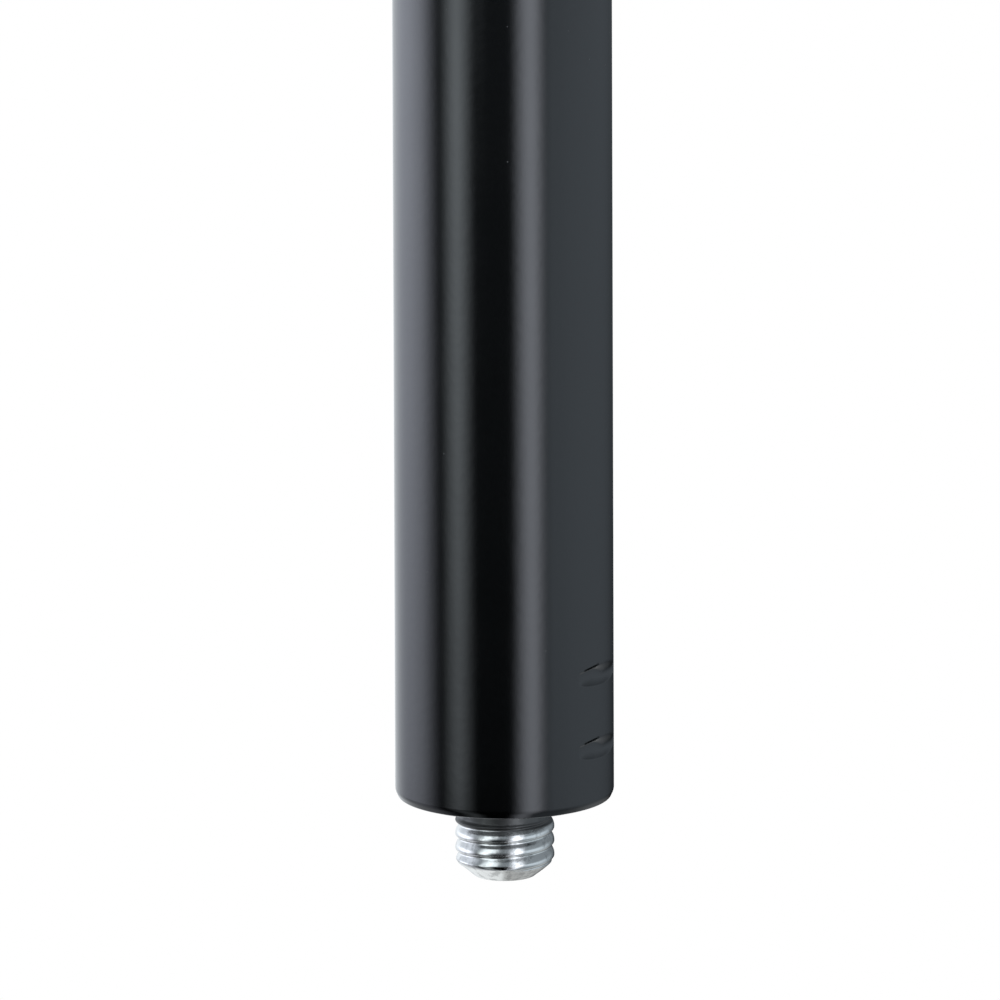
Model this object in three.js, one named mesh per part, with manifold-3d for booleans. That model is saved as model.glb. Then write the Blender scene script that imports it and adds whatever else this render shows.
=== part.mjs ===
// Height adjustable loudspeaker pole, in millimetres, +Z up.
// The origin is the centre of the seat under the lower tube: the threaded stud hangs below it.
// Seen from the front, along +Y, the clamp knob is on the right and the locking pin's head on the left.
import * as THREE from "three";
import { mergeVertices } from "three/addons/utils/BufferGeometryUtils.js";
import Module from "manifold-3d";

const wasm = await Module();
wasm.setup();

// General sizes
const gap = 0.3; // left between faces that touch
const overrun = 1; // how far a cutter runs past the face that it opens
const inch = 25.4;
const tubeSides = 40;
const turnedSides = 28;
const smallSides = 12;
const degree = Math.PI / 180;

// Lower tube, the part that the photograph shows
const lower = { outer: 35, wall: 2, length: 700, edgeRound: 1.6, topChamfer: 0.6 };
lower.radius = lower.outer / 2;
lower.bore = lower.radius - lower.wall;

// Press marks that fix the end plug: a round nosed bar pushed into the tube, two high, on opposite sides
const press = {
  azimuth: -32.5 * degree,
  firstHeight: 10.1,
  spacing: 12,
  depth: 1,
  nose: 2.03,
  tilt: 4.5 * degree,
};
press.reach = Math.sqrt(2 * lower.radius * press.depth) + press.nose;
press.axisRadius = lower.radius - press.depth + press.nose;
press.bumpRadius = press.axisRadius - press.nose - lower.wall;

// Stud: a rolled 5/8 inch, 11 threads to the inch bolt, put in from above through the end plug
const stud = {
  diameter: (5 / 8) * inch,
  pitch: inch / 11,
  depthShare: 0.6134,
  crestShare: 0.125,
  protrusion: 13,
  tipRadius: 5,
  runout: 1,
  frontCrest: 5.45,
  headHeight: 10.3,
  rowsPerTurn: 7,
};
stud.radius = stud.diameter / 2;
stud.sides = 32;

// End plug, turned steel, with a groove behind each row of press marks and a recess for the stud's head
const plug = { boreChamfer: 0.5, edgeChamfer: 0.6, grooveSlope: 1, landHeight: 3, recessWall: 1.1 };
plug.radius = lower.bore - gap;
plug.bore = stud.radius + gap;
plug.grooveRadius = press.bumpRadius - gap;
plug.grooveHalf = Math.sqrt((press.nose + lower.wall) ** 2 - (press.axisRadius - lower.bore) ** 2)
  + press.reach * Math.sin(press.tilt) + gap;
plug.recessFloor = press.firstHeight + press.spacing + plug.grooveHalf + plug.landHeight;
plug.top = plug.recessFloor + gap + stud.headHeight;
stud.headFlats = (plug.radius - plug.recessWall) * Math.sqrt(3) - 2 * gap;

// Nylon guide bush in the mouth of the lower tube
const bush = { wall: 0.9, length: 40, flange: 1.5 };
bush.radius = lower.bore - gap;
bush.bore = bush.radius - bush.wall;
bush.flangeRadius = lower.radius - gap;
bush.bottom = lower.length - bush.length;
bush.top = lower.length + gap + bush.flange;

// Upper tube, which slides in the bush
const upper = { wall: 2, footRoom: 120, edgeChamfer: 0.5 };
upper.radius = bush.bore - gap;
upper.outer = 2 * upper.radius;
upper.bore = upper.radius - upper.wall;

// Pressure shoe and screw of the clamp, measured along +X from the pole's axis
const shoe = { radius: 6.8, thickness: 4.6 };
shoe.back = upper.radius + gap + shoe.thickness;
const screw = { diameter: 8, threadPitch: 1.25, turns: 1, flats: 13, headHeight: 5.3, tipChamfer: 0.8 };
screw.radius = screw.diameter / 2 - gap / 2;
screw.travel = screw.threadPitch * screw.turns;
screw.tip = shoe.back + gap;

// Clamp collar, die cast, with a boss for the screw and a rib under it
const collar = {
  wall: 5,
  skirt: 45,
  rim: 3.6,
  chamfer: 1.5,
  beadDepth: 0.8,
  beadHeight: 2.4,
  beadOffset: 7,
  bossWall: 3.7,
  webWall: 2.4,
  ribThickness: 6,
};
collar.pocketEnd = shoe.back + screw.travel + gap + gap / 2;

// Brass insert that the screw turns in
const insert = { radius: 6, flangeRadius: 8, flange: 1.5, length: 10.7 };
insert.bore = screw.radius + gap;
insert.start = collar.pocketEnd + collar.webWall + gap;
insert.end = insert.start + insert.length;

collar.skirtBore = lower.radius + gap;
collar.radius = collar.skirtBore + collar.wall;
collar.bore = upper.radius + 2 * gap;
collar.bottom = lower.length - collar.skirt;
collar.lip = bush.top + gap;
collar.bossRadius = insert.flangeRadius + gap + collar.bossWall;
collar.bossFace = insert.end;
collar.clampAxis = collar.lip + collar.bossRadius;
collar.top = collar.clampAxis + collar.bossRadius + collar.rim;

// Two screws hold the collar, the lower tube and the bush together
const collarScrew = {
  radius: 1.75,
  headRadius: 3.6,
  headHeight: 2.2,
  rise: 20,
  slotWidth: 1.1,
  slotDepth: 1.1,
};
collarScrew.height = collar.bottom + collarScrew.rise;
collarScrew.tip = bush.bore + gap;
collarScrew.seat = collar.radius - collarScrew.headHeight - gap;

// Knob and its cap
const knobCap = { ledge: 1.6, thickness: 3.4, dome: 0.8, room: 3 };
knobCap.radius = (screw.flats + 2 * gap) / Math.sqrt(3) + knobCap.ledge;
const knob = {
  standoff: 4,
  hubRadius: 9,
  hubLength: 6,
  radius: 18,
  lobeDepth: 2.2,
  lobes: 6,
  edgeRound: 2,
  webWall: 5,
  outlinePoints: 60,
};
knob.start = collar.bossFace + knob.standoff;
knob.bodyStart = knob.start + knob.hubLength;
knob.headSeat = knob.bodyStart + knob.webWall;
knob.headEnd = knob.headSeat + gap + screw.headHeight;
knobCap.start = knob.headEnd + knobCap.room;
knob.end = knobCap.start + knobCap.thickness;

// Locking pin through the upper tube, lying just above the collar's rim
const pin = { radius: 3, tipChamfer: 1.2, overhang: 4, headSocket: 12 };
pin.height = collar.top + gap + pin.radius;
pin.holeRadius = pin.radius + gap;
pin.tip = upper.radius + pin.overhang;
const pinHead = { neckRadius: 5.6, neckLength: 4, radius: 9, length: 17, round: 3, waist: 0.9 };
pinHead.start = collar.radius + gap;
pinHead.end = pinHead.start + pinHead.length;
pin.tail = pinHead.start + pin.headSocket;

// Speaker shoulder, adapter sleeve and cap at the top: the sleeve is as wide as the lower tube
const flange = {
  ledge: 10.5,
  thickness: 6,
  hubWall: 5.7,
  hubHeight: 16,
  fingerRoom: 4,
  round: 1.5,
  register: 1,
  pinRadius: 2.5,
};
flange.bore = upper.radius + gap;
flange.hubRadius = flange.bore + flange.hubWall;
flange.hubBottom = pin.height + pinHead.radius + flange.fingerRoom;
flange.underside = flange.hubBottom + flange.hubHeight;
flange.shoulder = flange.underside + flange.thickness;
flange.pinHeight = flange.hubBottom + flange.hubHeight / 2;
const sleeve = { outer: lower.outer, length: 87.7, chamfer: 1, rivetRise: 22 };
sleeve.radius = sleeve.outer / 2;
sleeve.bore = upper.radius + gap;
sleeve.bottom = flange.shoulder - flange.register + gap;
flange.radius = sleeve.radius + flange.ledge;
flange.registerRadius = sleeve.radius + gap;
sleeve.rivetHeight = sleeve.bottom + sleeve.rivetRise;
const rivet = {
  radius: 1.6,
  headRadius: 3.1,
  headHeight: 1.2,
  recess: 0.2,
  tailRadius: 2.6,
  tailHeight: 1.4,
};
const cap = { edge: 2.4, dome: 2, spigot: 14, chamfer: 0.8, domeShare: 0.55 };
cap.radius = sleeve.radius - gap;

// Nylon glide closing the upper tube's foot; it stops against the bush at full height
const glide = { sleeve: 20, floor: 4, spigot: 15, chamfer: 0.6, pinRadius: 2, pinRise: 8 };
glide.radius = lower.bore - gap;
glide.bottom = plug.top + upper.footRoom;

// Heights of the upper tube at rest, and how far it can rise
upper.foot = glide.bottom + glide.floor + gap;
upper.top = sleeve.bottom + sleeve.length;
glide.top = upper.foot + glide.sleeve;
glide.pinHeight = upper.foot + glide.pinRise;
const stroke = bush.bottom - gap - glide.top;

// Index holes that the locking pin can go through, as many as the travel takes
const index = { spacing: 50 };
index.count = 1 + Math.floor(stroke / index.spacing);

// Materials
const finishes = {
  blackEnamel: { color: 0x0b0c0d, roughness: 0.22, metalness: 0 },
  zincSteel: { color: 0xc3c7c8, roughness: 0.25, metalness: 1 },
  castBlack: { color: 0x141516, roughness: 0.55, metalness: 0 },
  mouldedBlack: { color: 0x101112, roughness: 0.6, metalness: 0 },
  nylon: { color: 0xd8d6cc, roughness: 0.5, metalness: 0 },
  brass: { color: 0xc9a24a, roughness: 0.3, metalness: 1 },
};

// Places for shapes that are made about the Z axis
const upright = new THREE.Matrix4();
const towardsX = new THREE.Matrix4().makeRotationY(90 * degree);
const towardsY = new THREE.Matrix4().makeRotationX(-90 * degree);
const shifted = (x, y, z) => new THREE.Matrix4().makeTranslation(x, y, z);
const raised = (z) => shifted(0, 0, z);

/** A closed geometry as a solid that can be joined and cut. */
function solid(geometry) {
  const bare = geometry.index ? geometry.toNonIndexed() : geometry.clone();
  bare.deleteAttribute("normal");
  bare.deleteAttribute("uv");
  const merged = mergeVertices(bare);
  const corners = [];
  for (let i = 0; i < merged.index.count; i += 3) {
    const [a, b, c] = [0, 1, 2].map((k) => merged.index.getX(i + k));
    if (a !== b && b !== c && c !== a) corners.push(a, b, c);
  }
  return new wasm.Manifold(
    new wasm.Mesh({
      numProp: 3,
      vertProperties: merged.attributes.position.array,
      triVerts: new Uint32Array(corners),
    }),
  );
}

/** A turned solid: its profile is [radius, height] pairs, anticlockwise with the radius to the right. */
function turned(profile, sides, place = upright) {
  const points = profile.map(([radius, height]) => new THREE.Vector2(radius, height));
  const geometry = new THREE.LatheGeometry(points, sides).rotateX(90 * degree);
  return solid(geometry.applyMatrix4(place));
}

/** A hollow turned solid: the same profile, closed back to its first point. */
function ring(profile, sides, place = upright) {
  return turned([...profile, profile[0]], sides, place);
}

/** A plain round rod between two heights of its axis. */
function rod(radius, from, to, sides, place = upright) {
  return turned([[0, from], [radius, from], [radius, to], [0, to]], sides, place);
}

/** A prism of the given outline between two heights. */
function prism(outline, from, to, place = upright) {
  const shape = new THREE.Shape(outline.map(([x, y]) => new THREE.Vector2(x, y)));
  const geometry = new THREE.ExtrudeGeometry(shape, { depth: to - from, bevelEnabled: false });
  return solid(geometry.applyMatrix4(raised(from)).applyMatrix4(place));
}

/** The corners of a hexagon with the given distance across its flats. */
function hexagon(flats) {
  const corner = flats / Math.sqrt(3);
  return Array.from({ length: 6 }, (_, i) => {
    const angle = i * 60 * degree;
    return [corner * Math.cos(angle), corner * Math.sin(angle)];
  });
}

/** Points of a quarter round between two directions about a centre, as [radius, height] pairs. */
function arc(centreRadius, centreHeight, radius, from, to, steps) {
  return Array.from({ length: steps + 1 }, (_, i) => {
    const angle = (from + ((to - from) * i) / steps) * degree;
    return [centreRadius + radius * Math.cos(angle), centreHeight + radius * Math.sin(angle)];
  });
}

const cut = (base, ...tools) => tools.reduce((left, tool) => left.subtract(tool), base);
const join = (...pieces) => pieces.reduce((left, piece) => left.add(piece));

/** A named mesh of a solid, in its finish. */
function piece(name, body, finish) {
  const { vertProperties, triVerts, numProp, numVert } = body.getMesh();
  const positions = new Float32Array(numVert * 3);
  for (let i = 0; i < numVert; i++) {
    positions.set(vertProperties.subarray(i * numProp, i * numProp + 3), i * 3);
  }
  const geometry = new THREE.BufferGeometry()
    .setAttribute("position", new THREE.BufferAttribute(positions, 3))
    .setIndex(new THREE.BufferAttribute(new Uint32Array(triVerts), 1));
  geometry.computeVertexNormals();
  const mesh = new THREE.Mesh(geometry, new THREE.MeshStandardMaterial(finishes[finish]));
  mesh.name = name;
  return mesh;
}

/** The straight bars that make the press marks, with the given nose radius. */
function pressBars(noseRadius) {
  const bars = [];
  for (const row of [0, 1]) {
    for (const side of [0, 180]) {
      const place = new THREE.Matrix4()
        .makeRotationZ(press.azimuth + side * degree)
        .multiply(shifted(press.axisRadius, 0, press.firstHeight + row * press.spacing))
        .multiply(new THREE.Matrix4().makeRotationX(press.tilt))
        .multiply(towardsY);
      bars.push(rod(noseRadius, -press.reach, press.reach, smallSides, place));
    }
  }
  return bars;
}

/** Two screw holes through the wall at the front and the back. */
function crossHoles(radius, height, reach) {
  return rod(radius, -reach, reach, smallSides, raised(height).multiply(towardsY));
}

function lowerTube() {
  const wall = ring(
    [
      [lower.bore, 0],
      ...arc(lower.radius - lower.edgeRound, lower.edgeRound, lower.edgeRound, -90, 0, 3),
      [lower.radius, lower.length - lower.topChamfer],
      [lower.radius - lower.topChamfer, lower.length],
      [lower.bore, lower.length],
    ],
    tubeSides,
  );
  // Behind each mark the wall bulges inwards by as much, keeping its thickness
  const midWall = lower.bore + lower.wall / 2;
  const core = rod(midWall, -overrun, lower.length + overrun, tubeSides);
  const bumps = pressBars(press.nose + lower.wall).map((bar) => bar.intersect(core));
  const holes = crossHoles(collarScrew.radius + gap, collarScrew.height, lower.outer);
  return piece("lower_tube", cut(join(wall, ...bumps), ...pressBars(press.nose), holes), "blackEnamel");
}

function endPlug() {
  const grooves = [0, 1].flatMap((row) => {
    const middle = press.firstHeight + row * press.spacing;
    return [
      [plug.radius, middle - plug.grooveHalf],
      [plug.grooveRadius, middle - plug.grooveHalf + plug.grooveSlope],
      [plug.grooveRadius, middle + plug.grooveHalf - plug.grooveSlope],
      [plug.radius, middle + plug.grooveHalf],
    ];
  });
  const body = ring(
    [
      [plug.bore, plug.boreChamfer],
      [plug.bore + plug.boreChamfer, 0],
      [plug.radius - plug.edgeChamfer, 0],
      [plug.radius, plug.edgeChamfer],
      ...grooves,
      [plug.radius, plug.top - plug.edgeChamfer],
      [plug.radius - plug.edgeChamfer, plug.top],
      [plug.bore, plug.top],
    ],
    turnedSides,
  );
  const recess = prism(hexagon(stud.headFlats + 2 * gap), plug.recessFloor, plug.top + overrun);
  return piece("end_plug", cut(body, recess), "zincSteel");
}

/** Radius of the stud at a turn and a height: a rounded right hand thread that ends in a cone at the tip. */
function studRadius(turn, height) {
  const phase = (height + stud.frontCrest) / stud.pitch - turn - 1 / 4;
  const fromCrest = 2 * Math.abs(phase - Math.round(phase));
  const flank = THREE.MathUtils.clamp((fromCrest - stud.crestShare) / (1 - 2 * stud.crestShare), 0, 1);
  const cutShare = THREE.MathUtils.clamp(-height / stud.runout, 0, 1);
  const depth = stud.depthShare * stud.pitch * THREE.MathUtils.smoothstep(flank, 0, 1) * cutShare;
  const cone = stud.tipRadius + height + stud.protrusion;
  return Math.min(stud.radius - depth, cone);
}

function threadedStud() {
  const rows = Math.round((stud.protrusion / stud.pitch) * stud.rowsPerTurn);
  const rowCount = rows + 1;
  const points = [];
  for (let row = 0; row < rowCount; row++) {
    const height = -stud.protrusion * (1 - row / rows);
    for (let side = 0; side < stud.sides; side++) {
      const turn = side / stud.sides;
      const radius = studRadius(turn, height);
      points.push(radius * Math.cos(360 * degree * turn), radius * Math.sin(360 * degree * turn), height);
    }
  }
  const bottomCentre = points.length / 3;
  points.push(0, 0, -stud.protrusion, 0, 0, 0);
  const topCentre = bottomCentre + 1;
  const corners = [];
  for (let side = 0; side < stud.sides; side++) {
    const next = (side + 1) % stud.sides;
    corners.push(bottomCentre, next, side);
    for (let row = 0; row < rows; row++) {
      const [a, b] = [row * stud.sides + side, row * stud.sides + next];
      corners.push(a, b, b + stud.sides, a, b + stud.sides, a + stud.sides);
    }
    corners.push(topCentre, rows * stud.sides + side, rows * stud.sides + next);
  }
  const thread = new THREE.BufferGeometry()
    .setAttribute("position", new THREE.BufferAttribute(new Float32Array(points), 3))
    .setIndex(corners);
  const headSeat = plug.recessFloor + gap;
  const shank = rod(stud.radius, 0, headSeat, stud.sides, new THREE.Matrix4().makeRotationZ(90 * degree));
  const head = prism(hexagon(stud.headFlats), headSeat, headSeat + stud.headHeight);
  return piece("threaded_stud", join(solid(thread), shank, head), "zincSteel");
}

function guideBush() {
  const body = ring(
    [
      [bush.bore, bush.bottom],
      [bush.radius, bush.bottom],
      [bush.radius, lower.length + gap],
      [bush.flangeRadius, lower.length + gap],
      [bush.flangeRadius, bush.top],
      [bush.bore, bush.top],
    ],
    tubeSides,
  );
  const holes = crossHoles(collarScrew.radius + gap, collarScrew.height, lower.outer);
  return piece("guide_bush", cut(body, holes), "nylon");
}

function clampCollar() {
  const bead = collar.bottom + collar.beadOffset;
  const barrel = ring(
    [
      [collar.skirtBore, collar.bottom],
      [collar.radius - collar.chamfer, collar.bottom],
      [collar.radius, collar.bottom + collar.chamfer],
      [collar.radius, bead],
      [collar.radius - collar.beadDepth, bead + collar.beadDepth],
      [collar.radius - collar.beadDepth, bead + collar.beadHeight - collar.beadDepth],
      [collar.radius, bead + collar.beadHeight],
      [collar.radius, collar.top - collar.chamfer],
      [collar.radius - collar.chamfer, collar.top],
      [collar.bore, collar.top],
      [collar.bore, collar.lip],
      [collar.skirtBore, collar.lip],
    ],
    tubeSides,
  );
  const alongClamp = raised(collar.clampAxis).multiply(towardsX);
  const boss = turned(
    [
      [0, collar.bore + collar.chamfer],
      [collar.bossRadius, collar.bore + collar.chamfer],
      [collar.bossRadius, collar.bossFace - collar.chamfer],
      [collar.bossRadius - collar.chamfer, collar.bossFace],
      [0, collar.bossFace],
    ],
    turnedSides,
    alongClamp,
  );
  // The rib runs from the boss's underside down to the barrel, in the plane of the screw
  const ribInner = collar.skirtBore + collar.wall / 2;
  const rib = prism(
    [
      [ribInner, collar.bottom + collar.skirt / 2],
      [collar.radius, collar.bottom + collar.skirt / 2],
      [collar.bossFace - 2 * collar.chamfer, collar.clampAxis - collar.bossRadius / 2],
      [ribInner, collar.clampAxis - collar.bossRadius / 2],
    ],
    -collar.ribThickness / 2,
    collar.ribThickness / 2,
    new THREE.Matrix4().makeRotationX(90 * degree),
  );
  const bore = rod(collar.bore, collar.lip - overrun, collar.top + overrun, tubeSides);
  const pocket = rod(shoe.radius + gap, 0, collar.pocketEnd, turnedSides, alongClamp);
  const screwHole = rod(insert.bore + gap, 0, collar.bossFace, smallSides, alongClamp);
  const insertSeat = turned(
    [
      [0, insert.start - gap],
      [insert.radius + gap, insert.start - gap],
      [insert.radius + gap, collar.bossFace - insert.flange - gap],
      [insert.flangeRadius + gap, collar.bossFace - insert.flange - gap],
      [insert.flangeRadius + gap, collar.bossFace + overrun],
      [0, collar.bossFace + overrun],
    ],
    turnedSides,
    alongClamp,
  );
  const screwHoles = crossHoles(collarScrew.radius + gap, collarScrew.height, collar.radius + overrun);
  const headSeats = [-1, 1].map((side) =>
    rod(
      collarScrew.headRadius + gap,
      collarScrew.seat - gap,
      collar.radius + overrun,
      smallSides,
      raised(collarScrew.height).multiply(new THREE.Matrix4().makeRotationX(-side * 90 * degree)),
    ),
  );
  const body = cut(join(barrel, boss, rib), bore, pocket, screwHole, insertSeat, screwHoles, ...headSeats);
  return piece("clamp_collar", body, "castBlack");
}

/** A slotted cheese head screw, from the front for side -1 and from the back for side 1. */
function collarScrewAt(name, side) {
  const facing = new THREE.Matrix4().makeRotationX(-side * 90 * degree);
  const place = raised(collarScrew.height).multiply(facing);
  const headTop = collarScrew.seat + collarScrew.headHeight;
  const body = turned(
    [
      [0, collarScrew.tip],
      [collarScrew.radius, collarScrew.tip],
      [collarScrew.radius, collarScrew.seat],
      [collarScrew.headRadius, collarScrew.seat],
      [collarScrew.headRadius, headTop],
      [0, headTop],
    ],
    smallSides,
    place,
  );
  const half = collarScrew.slotWidth / 2;
  const wide = collarScrew.headRadius + overrun;
  const slot = prism(
    [[-wide, -half], [wide, -half], [wide, half], [-wide, half]],
    headTop - collarScrew.slotDepth,
    headTop + overrun,
    place,
  );
  return piece(name, cut(body, slot), "zincSteel");
}

// Pieces of the clamp are made along Z, outwards from the pole's axis, and their group turns them to +X
function threadedInsert() {
  const flangeStart = insert.end - insert.flange;
  const body = ring(
    [
      [insert.bore, insert.start],
      [insert.radius, insert.start],
      [insert.radius, flangeStart],
      [insert.flangeRadius, flangeStart],
      [insert.flangeRadius, insert.end],
      [insert.bore, insert.end],
    ],
    turnedSides,
  );
  return piece("threaded_insert", body, "brass");
}

function pressureShoe() {
  const tubeRoom = rod(
    upper.radius + gap,
    -shoe.radius - overrun,
    shoe.radius + overrun,
    tubeSides,
    new THREE.Matrix4().makeRotationY(90 * degree),
  );
  return piece("pressure_shoe", cut(rod(shoe.radius, 0, shoe.back, turnedSides), tubeRoom), "nylon");
}

function clampScrew() {
  const shaft = turned(
    [
      [0, screw.tip],
      [screw.radius - screw.tipChamfer, screw.tip],
      [screw.radius, screw.tip + screw.tipChamfer],
      [screw.radius, knob.headSeat + gap],
      [0, knob.headSeat + gap],
    ],
    smallSides,
  );
  const head = prism(hexagon(screw.flats), knob.headSeat + gap, knob.headEnd);
  return piece("clamp_screw", join(shaft, head), "zincSteel");
}

/** Outline of the knob: a circle with round lobes, drawn in by the given inset. */
function knobOutline(inset) {
  return Array.from({ length: knob.outlinePoints }, (_, i) => {
    const angle = (i / knob.outlinePoints) * 360 * degree;
    const radius = knob.radius - inset - knob.lobeDepth * (1 - Math.cos(knob.lobes * angle)) / 2;
    return new THREE.Vector2(radius * Math.cos(angle), radius * Math.sin(angle));
  });
}

function clampKnob() {
  const grip = new THREE.ExtrudeGeometry(new THREE.Shape(knobOutline(knob.edgeRound)), {
    depth: knob.end - knob.bodyStart - 2 * knob.edgeRound,
    bevelThickness: knob.edgeRound,
    bevelSize: knob.edgeRound,
    bevelSegments: 3,
  });
  const body = solid(grip.applyMatrix4(raised(knob.bodyStart + knob.edgeRound)));
  const hub = rod(knob.hubRadius, knob.start, knob.bodyStart + knob.webWall, turnedSides);
  const bore = rod(screw.radius + gap, knob.start - overrun, knob.end, smallSides);
  const headRoom = prism(hexagon(screw.flats + 2 * gap), knob.headSeat, knob.end);
  const capSeat = rod(knobCap.radius + gap, knobCap.start - gap, knob.end + overrun, turnedSides);
  return piece("clamp_knob", cut(join(body, hub), bore, headRoom, capSeat), "mouldedBlack");
}

function knobCover() {
  const body = turned(
    [
      [0, knobCap.start],
      [knobCap.radius, knobCap.start],
      [knobCap.radius, knob.end - knobCap.dome],
      [knobCap.radius - knobCap.dome, knob.end],
      [0, knob.end],
    ],
    turnedSides,
  );
  return piece("knob_cap", body, "mouldedBlack");
}

// The upper pole's pieces keep the heights that they have at rest
function upperTube() {
  const wall = ring(
    [
      [upper.bore, upper.foot],
      [upper.radius - upper.edgeChamfer, upper.foot],
      [upper.radius, upper.foot + upper.edgeChamfer],
      [upper.radius, upper.top - upper.edgeChamfer],
      [upper.radius - upper.edgeChamfer, upper.top],
      [upper.bore, upper.top],
    ],
    tubeSides,
  );
  const holes = Array.from({ length: index.count }, (_, i) =>
    rod(
      pin.holeRadius,
      -upper.outer,
      upper.outer,
      smallSides,
      raised(pin.height - i * index.spacing).multiply(towardsX),
    ),
  );
  const pinHoles = [
    crossHoles(glide.pinRadius + gap, glide.pinHeight, upper.outer),
    crossHoles(flange.pinRadius + gap, flange.pinHeight, upper.outer),
    crossHoles(rivet.radius + gap, sleeve.rivetHeight, upper.outer),
  ];
  return piece("upper_tube", cut(wall, ...holes, ...pinHoles), "blackEnamel");
}

function bottomGlide() {
  const floor = upper.foot - gap;
  const body = turned(
    [
      [0, glide.bottom],
      [glide.radius - glide.chamfer, glide.bottom],
      [glide.radius, glide.bottom + glide.chamfer],
      [glide.radius, glide.top],
      [upper.radius + gap, glide.top],
      [upper.radius + gap, floor],
      [upper.bore - gap, floor],
      [upper.bore - gap, upper.foot + glide.spigot],
      [0, upper.foot + glide.spigot],
    ],
    tubeSides,
  );
  const pinHole = crossHoles(glide.pinRadius + gap, glide.pinHeight, upper.outer);
  return piece("bottom_glide", cut(body, pinHole), "nylon");
}

/** A plain cross pin along Y that ends just inside the given radius. */
function crossPin(name, radius, height, reach) {
  return piece(name, crossHoles(radius, height, reach - gap), "zincSteel");
}

function supportFlange() {
  const body = ring(
    [
      [flange.bore, flange.hubBottom],
      [flange.hubRadius - flange.round, flange.hubBottom],
      [flange.hubRadius, flange.hubBottom + flange.round],
      [flange.hubRadius, flange.underside - flange.round],
      [flange.hubRadius + flange.round, flange.underside],
      ...arc(flange.radius - flange.round, flange.underside + flange.round, flange.round, -90, 0, 2),
      ...arc(flange.radius - flange.round, flange.shoulder - flange.round, flange.round, 0, 90, 2),
      [flange.registerRadius, flange.shoulder],
      [flange.registerRadius, flange.shoulder - flange.register],
      [flange.bore, flange.shoulder - flange.register],
    ],
    tubeSides,
  );
  const pinHole = crossHoles(flange.pinRadius + gap, flange.pinHeight, flange.radius);
  return piece("support_flange", cut(body, pinHole), "castBlack");
}

function adapterSleeve() {
  const body = ring(
    [
      [sleeve.bore, sleeve.bottom],
      [sleeve.radius, sleeve.bottom],
      [sleeve.radius, upper.top - sleeve.chamfer],
      [sleeve.radius - sleeve.chamfer, upper.top],
      [sleeve.bore, upper.top],
    ],
    tubeSides,
  );
  const holes = crossHoles(rivet.radius + gap, sleeve.rivetHeight, sleeve.outer);
  const seats = [-1, 1].map((side) =>
    rod(
      rivet.headRadius + gap,
      sleeve.radius - rivet.recess - rivet.headHeight - gap,
      sleeve.outer,
      smallSides,
      raised(sleeve.rivetHeight).multiply(new THREE.Matrix4().makeRotationX(-side * 90 * degree)),
    ),
  );
  return piece("adapter_sleeve", cut(body, holes, ...seats), "mouldedBlack");
}

/** A rivet through the sleeve and the tube wall, its tail formed inside the tube. */
function sleeveRivet(name, side) {
  const headTop = sleeve.radius - rivet.recess;
  const seat = headTop - rivet.headHeight;
  const tail = Math.sqrt(upper.bore ** 2 - rivet.tailRadius ** 2) - gap;
  const body = turned(
    [
      [0, tail - rivet.tailHeight],
      [rivet.tailRadius, tail - rivet.tailHeight],
      [rivet.tailRadius, tail],
      [rivet.radius, tail],
      [rivet.radius, seat],
      [rivet.headRadius, seat],
      [rivet.headRadius, headTop],
      [0, headTop],
    ],
    smallSides,
    raised(sleeve.rivetHeight).multiply(new THREE.Matrix4().makeRotationX(-side * 90 * degree)),
  );
  return piece(name, body, "zincSteel");
}

function topCap() {
  const seat = upper.top + gap;
  const rim = seat + cap.edge;
  const spigot = upper.bore - gap;
  const body = turned(
    [
      [0, upper.top - cap.spigot],
      [spigot - cap.chamfer, upper.top - cap.spigot],
      [spigot, upper.top - cap.spigot + cap.chamfer],
      [spigot, seat],
      [cap.radius, seat],
      [cap.radius, rim],
      [cap.radius - cap.chamfer, rim + cap.chamfer],
      [cap.radius * cap.domeShare, rim + cap.dome],
      [0, rim + cap.dome],
    ],
    tubeSides,
  );
  return piece("top_cap", body, "mouldedBlack");
}

// The locking pin's pieces are made along Z, from the axis towards the head, and their group turns them to -X
function lockingPin() {
  const body = turned(
    [
      [0, -pin.tip],
      [pin.radius - pin.tipChamfer, -pin.tip],
      [pin.radius, -pin.tip + pin.tipChamfer],
      [pin.radius, pin.tail - gap],
      [0, pin.tail - gap],
    ],
    smallSides,
  );
  return piece("locking_pin", body, "zincSteel");
}

function pinPull() {
  const gripStart = pinHead.start + pinHead.neckLength;
  const body = turned(
    [
      [0, pinHead.start],
      [pinHead.neckRadius, pinHead.start],
      [pinHead.neckRadius, gripStart - pinHead.waist],
      [pinHead.radius - pinHead.waist, gripStart],
      [pinHead.radius, gripStart + pinHead.waist],
      ...arc(pinHead.radius - pinHead.round, pinHead.end - pinHead.round, pinHead.round, 0, 90, 4),
      [0, pinHead.end],
    ],
    turnedSides,
  );
  const socket = rod(pin.radius + gap, pinHead.start - overrun, pin.tail, smallSides);
  return piece("pin_head", cut(body, socket), "mouldedBlack");
}

/** A group that holds its pieces about an axis at a height, turned as given. */
function bodyGroup(pieces, height = 0, turnY = 0) {
  const group = new THREE.Group();
  group.position.z = height;
  group.rotation.y = turnY;
  group.add(...pieces);
  return group;
}

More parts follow.
